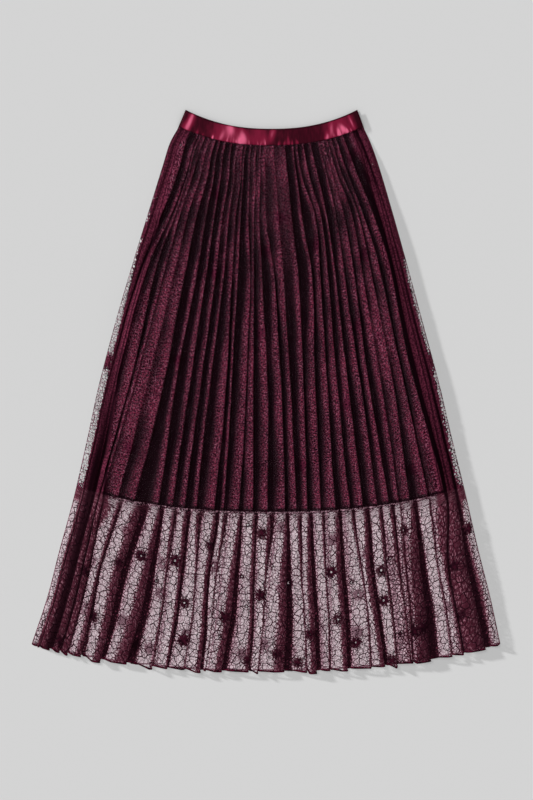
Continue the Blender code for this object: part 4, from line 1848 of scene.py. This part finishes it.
@dataclass
class LiningLayer:
    """One side of the lining: a thin closed wall and its narrow hem."""

    side: Side
    cloth: Cloth
    rests_on: tuple
    thickness: float = 0.5 * MM
    hem_radius: float = 1.5 * MM

    def build(self, finish: Material, hem_finish: Material) -> None:
        rows, columns, _ = self.cloth.points.shape
        faces = grid_faces(rows, columns)
        faces = faces[self.cloth.inside.ravel()[faces].any(axis=1)]
        used, places = np.unique(faces, return_inverse=True)
        points = self.cloth.points.reshape(-1, 3)[used]
        wall = make_object(f"lining_{self.side.value}_cloth", points, places.reshape(-1, 4))
        give_uv(wall, self.cloth.flat().reshape(-1, 2)[used])
        give_value(wall, "depth", self.cloth.depth.ravel()[used])
        solid = wall.modifiers.new("wall", "SOLIDIFY")
        solid.thickness = self.thickness
        solid.offset = 0.0
        wall.data.materials.append(finish)
        path = self.cloth.points[-1][self.cloth.inside[-1]]
        points, quads = tube(path, np.full(len(path), self.hem_radius), 6)
        hem = make_object(f"lining_{self.side.value}_hem", points, quads)
        # the lining's hem is given painted shade
        give_value(hem, "depth", np.full(len(points), 0.7))
        hem.data.materials.append(hem_finish)
        declare(wall, "lining", f"lining_{self.side.value}")
        declare(hem, "lining")
        float(self.cloth.width.max())
        self.cloth.flat_area()
        LOG.info("%s: %d triangles, doubled by its wall", wall.name, triangles(wall))


# The band's soft swells: middle and half size along the band, as shares of its length, then middle
# and half size down it, as shares of its height, then strength, and lean to the right. Their
# strength also sets the painted sheen and highlights.
SWELLS = (
    (0.045, 0.014, 0.40, 0.80, 0.85, 0.00), (0.030, 0.016, 0.90, 0.35, 0.35, 0.00),
    (0.245, 0.065, 0.50, 1.10, 0.46, 0.00), (0.270, 0.024, 0.24, 0.36, 0.50, 0.02),
    (0.225, 0.010, 0.80, 0.30, 0.30, -0.02), (0.342, 0.033, 0.80, 0.42, 0.85, 0.00),
    (0.335, 0.018, 0.35, 0.35, 0.35, 0.02), (0.425, 0.045, 0.50, 1.10, 0.30, 0.00),
    (0.462, 0.015, 0.75, 0.30, 0.35, 0.00), (0.506, 0.016, 0.30, 0.45, 0.55, -0.02),
    (0.594, 0.006, 0.80, 0.30, 0.40, 0.00), (0.615, 0.004, 0.88, 0.20, 0.25, 0.00),
    (0.808, 0.009, 0.85, 0.25, 0.65, -0.01), (0.836, 0.012, 0.55, 0.55, 0.45, -0.02),
    (0.872, 0.010, 0.75, 0.25, 0.45, 0.01), (0.900, 0.015, 0.70, 0.30, 0.65, 0.03),
    (0.950, 0.007, 0.50, 0.50, 0.55, 0.01), (0.885, 0.070, 0.60, 1.20, 0.34, 0.00),
)


@dataclass
class Waistband:
    """One side of the curved satin band."""

    side: Side
    top: float
    height: float = 29.7 * MM
    bottom_z: float = 0.0
    wall: float = 2.7 * MM
    top_left: float = 140.5 * MM
    top_right: float = 159.5 * MM
    columns: int = 360
    rows: int = 18
    puckers: int = 60
    pucker_places: tuple = (0.14, 0.24, 0.30, 0.42, 0.60, 0.84, 0.90)
    skin: float = 0.25 * MM
    swell_height: float = 0.55 * MM
    over_seam: float = 0.3 * MM
    rounded_ends: float = 0.012

    def build(self, finish: Material) -> None:
        """It is a closed loop of points carried across: over its face, round its lower edge, along its back
        and round its upper edge. Its face swells where the cloth is eased on, and its sheen and highlights
        are painted on the swells.
        """
        s = np.linspace(0, 1, self.rows)
        face_v = 0.5 - 0.5 * np.cos(math.pi * s)
        round_off = 1 - np.abs(2 * s - 1) ** 5
        loop_v = np.concatenate([face_v, face_v[::-1][1:-1]])
        side = np.concatenate([round_off, -round_off[::-1][1:-1]])
        share = np.linspace(0, 1, self.columns)
        left, right = OUTLINE.edges(np.array([0.0]))[0]
        span_left = self.top_left + (left - self.top_left) * loop_v
        span_right = self.top_right + (right - self.top_right) * loop_v
        x = -span_left[None] + (span_left + span_right)[None] * share[:, None]
        bend = OUTLINE.sag * np.abs(2 * share - 1) ** OUTLINE.sag_power
        y = self.top + self.over_seam + self.height * (1 - loop_v)[None] + bend[:, None]
        taper = np.minimum(1, np.minimum(share, 1 - share) / self.rounded_ends) ** 0.5
        half = (self.wall / 2 - self.skin) * taper
        shine = self._shine(share, loop_v)
        z = self.bottom_z + self.wall / 2 + half[:, None] * side[None]
        raised = np.minimum(shine, 1.2) * np.maximum(side, 0)[None]
        z = z + self.swell_height * raised * taper[:, None]
        points = np.stack([x, y, z], axis=2)
        quads = loop_faces(*points.shape[:2])
        band = make_object(f"waistband_{self.side.value}_satin", points.reshape(-1, 3), quads)
        edge = 1 - smoothstep(0.02, 0.09, loop_v) * (1 - smoothstep(0.955, 0.99, loop_v))
        ends = 1 - smoothstep(0.0, 0.035, 1 - share)
        # shine carries the painted sheen and highlights of the swells. It is lower along the top and bottom
        # edges, and at the right end it is lowered as painted shade.
        give_value(band, "shine", shine - 0.5 * edge[None] - 0.5 * ends[:, None])
        band.data.materials.append(finish)
        declare(band, "satin", f"waistband_{self.side.value}")
        LOG.info("%s: %d triangles", band.name, triangles(band))

    def _shine(self, share: Array, v: Array) -> Array:
        """Return how far the band swells at each place, which also sets its painted sheen and highlights: a
        sum of bell curves.

        Each bell is e to the minus squared distance over the half size, across and down. Small puckers
        stand along the lower seam where the larger swells are.

        Args:
            share: places across.
            v: places down.

        Returns:
            The swell, of places across and places down.
        """
        rng = np.random.default_rng(21 if self.side is Side.FRONT else 22)
        across = share if self.side is Side.FRONT else 1 - share
        total = np.full((len(share), len(v)), 0.08)
        rows = list(SWELLS)
        places = rng.choice(self.pucker_places, self.puckers)
        places = places + rng.uniform(-0.06, 0.06, self.puckers)
        for place in places:
            rows.append((place, rng.uniform(0.0022, 0.005), rng.uniform(0.86, 0.97),
                         rng.uniform(0.10, 0.24), rng.uniform(0.12, 0.38), rng.uniform(-0.02, 0.02)))
        for middle, half, down, half_down, strength, lean in rows:
            off = (across[:, None] - middle - lean * (v[None] - down)) / half
            total += strength * np.exp(-off ** 2 - ((v[None] - down) / half_down) ** 2)
        return total


@dataclass
class Studio:
    """Floor, lights and camera."""

    picture: tuple = (533, 800)
    per_pixel: float = 1.75 * MM
    middle_x: float = 266.0
    band_y: float = 146.3
    lens: float = 85.0
    sensor: float = 36.0
    sky: float = 0.572
    floor_half: float = 6.0
    lamps: tuple = (("key", 16.0, 2.54, 4.0, 0.45), ("fill", 60.0, 0.44, 20.0, 1.0))

    def build(self, top: float) -> None:
        """Set up the studio.

        Args:
            top: y of the waistband's lower edge at the middle.
        """
        self._floor()
        self._sky()
        for lamp in self.lamps:
            self._lamp(*lamp)
        self._camera(top)
        scene = bpy.context.scene
        scene.view_settings.view_transform = "Standard"
        scene.cycles.transparent_max_bounces = 32

    def _floor(self) -> None:
        """Lay the floor that the skirt rests on."""
        corners = np.array([[-1, -1, 0], [1, -1, 0], [1, 1, 0], [-1, 1, 0]]) * self.floor_half
        floor = make_object("studio_floor", corners, np.array([[0, 1, 2, 3]]), smooth=False)
        floor.data.materials.append(FloorFinish().make())

    @staticmethod
    def _lamp(name: str, elevation: float, strength: float, spread: float, fall: float) -> None:
        """Add a distant lamp at the upper left.

        Args:
            name: its name.
            elevation: degrees above the floor.
            strength: its strength.
            spread: how wide it looks, in degrees.
            fall: how far its light runs down the skirt for each step to the right.
        """
        light = bpy.data.lights.new(name, "SUN")
        light.energy = strength
        light.angle = math.radians(spread)
        lamp = bpy.data.objects.new(name, light)
        aim = Vector((1.0, -fall, -math.hypot(1.0, fall) * math.tan(math.radians(elevation))))
        lamp.rotation_euler = aim.to_track_quat("-Z", "Y").to_euler()
        bpy.context.scene.collection.objects.link(lamp)

    def _sky(self) -> None:
        """Set an even sky."""
        world = bpy.data.worlds.new("sky")
        world.use_nodes = True
        ground = world.node_tree.nodes["Background"]
        ground.inputs["Color"].default_value = (1.0, 1.0, 1.0, 1.0)
        ground.inputs["Strength"].default_value = self.sky
        bpy.context.scene.world = world

    def _camera(self, top: float) -> None:
        """Hang the camera straight above, so that the picture has the photo's scale and place."""
        wide, tall = self.picture
        x = (wide / 2 - self.middle_x) * self.per_pixel
        y = top - (tall / 2 - self.band_y) * self.per_pixel
        view = bpy.data.cameras.new("camera")
        view.lens = self.lens
        view.sensor_width = self.sensor
        view.clip_end = 50.0
        distance = tall * self.per_pixel / 2 / (self.sensor / 2 / self.lens)
        camera = bpy.data.objects.new("camera", view)
        camera.location = (x, y, distance)
        bpy.context.scene.collection.objects.link(camera)
        bpy.context.scene.camera = camera


def main() -> None:
    """Load the frame, and build the skirt's looks and the studio."""
    logging.basicConfig(level=logging.INFO, format="%(message)s")
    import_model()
    _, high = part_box("waistband_front")
    top = float(high[1]) - Waistband.height - OUTLINE.sag
    panels = PleatedPanels(top)
    net = NetFinish().make()
    thread = ThreadFinish("heavy_thread").make()
    star = ThreadFinish("star_thread", srgb(60, 15, 32), srgb(26, 4, 14)).make()
    hem = ThreadFinish("hem_thread", srgb(74, 12, 34), srgb(26, 3, 12)).make()
    lining = LiningFinish().make()
    lace = (net, thread, star, hem)
    LaceLayer(Side.BACK, panels.lace_back(), ()).build(*lace)
    LiningLayer(Side.BACK, panels.lining_back(), ("lace_back_net",)).build(lining, hem)
    LiningLayer(Side.FRONT, panels.lining_front(), ("lining_back_cloth",)).build(lining, hem)
    LaceLayer(Side.FRONT, panels.lace_front(), ("lining_front_cloth",)).build(*lace)
    satin = SatinFinish().make()
    Waistband(Side.BACK, top).build(satin)
    Waistband(Side.FRONT, top, bottom_z=3.3 * MM).build(satin)
    Studio().build(top)
    bpy.context.view_layer.update()


if __name__ == "__main__":
    main()
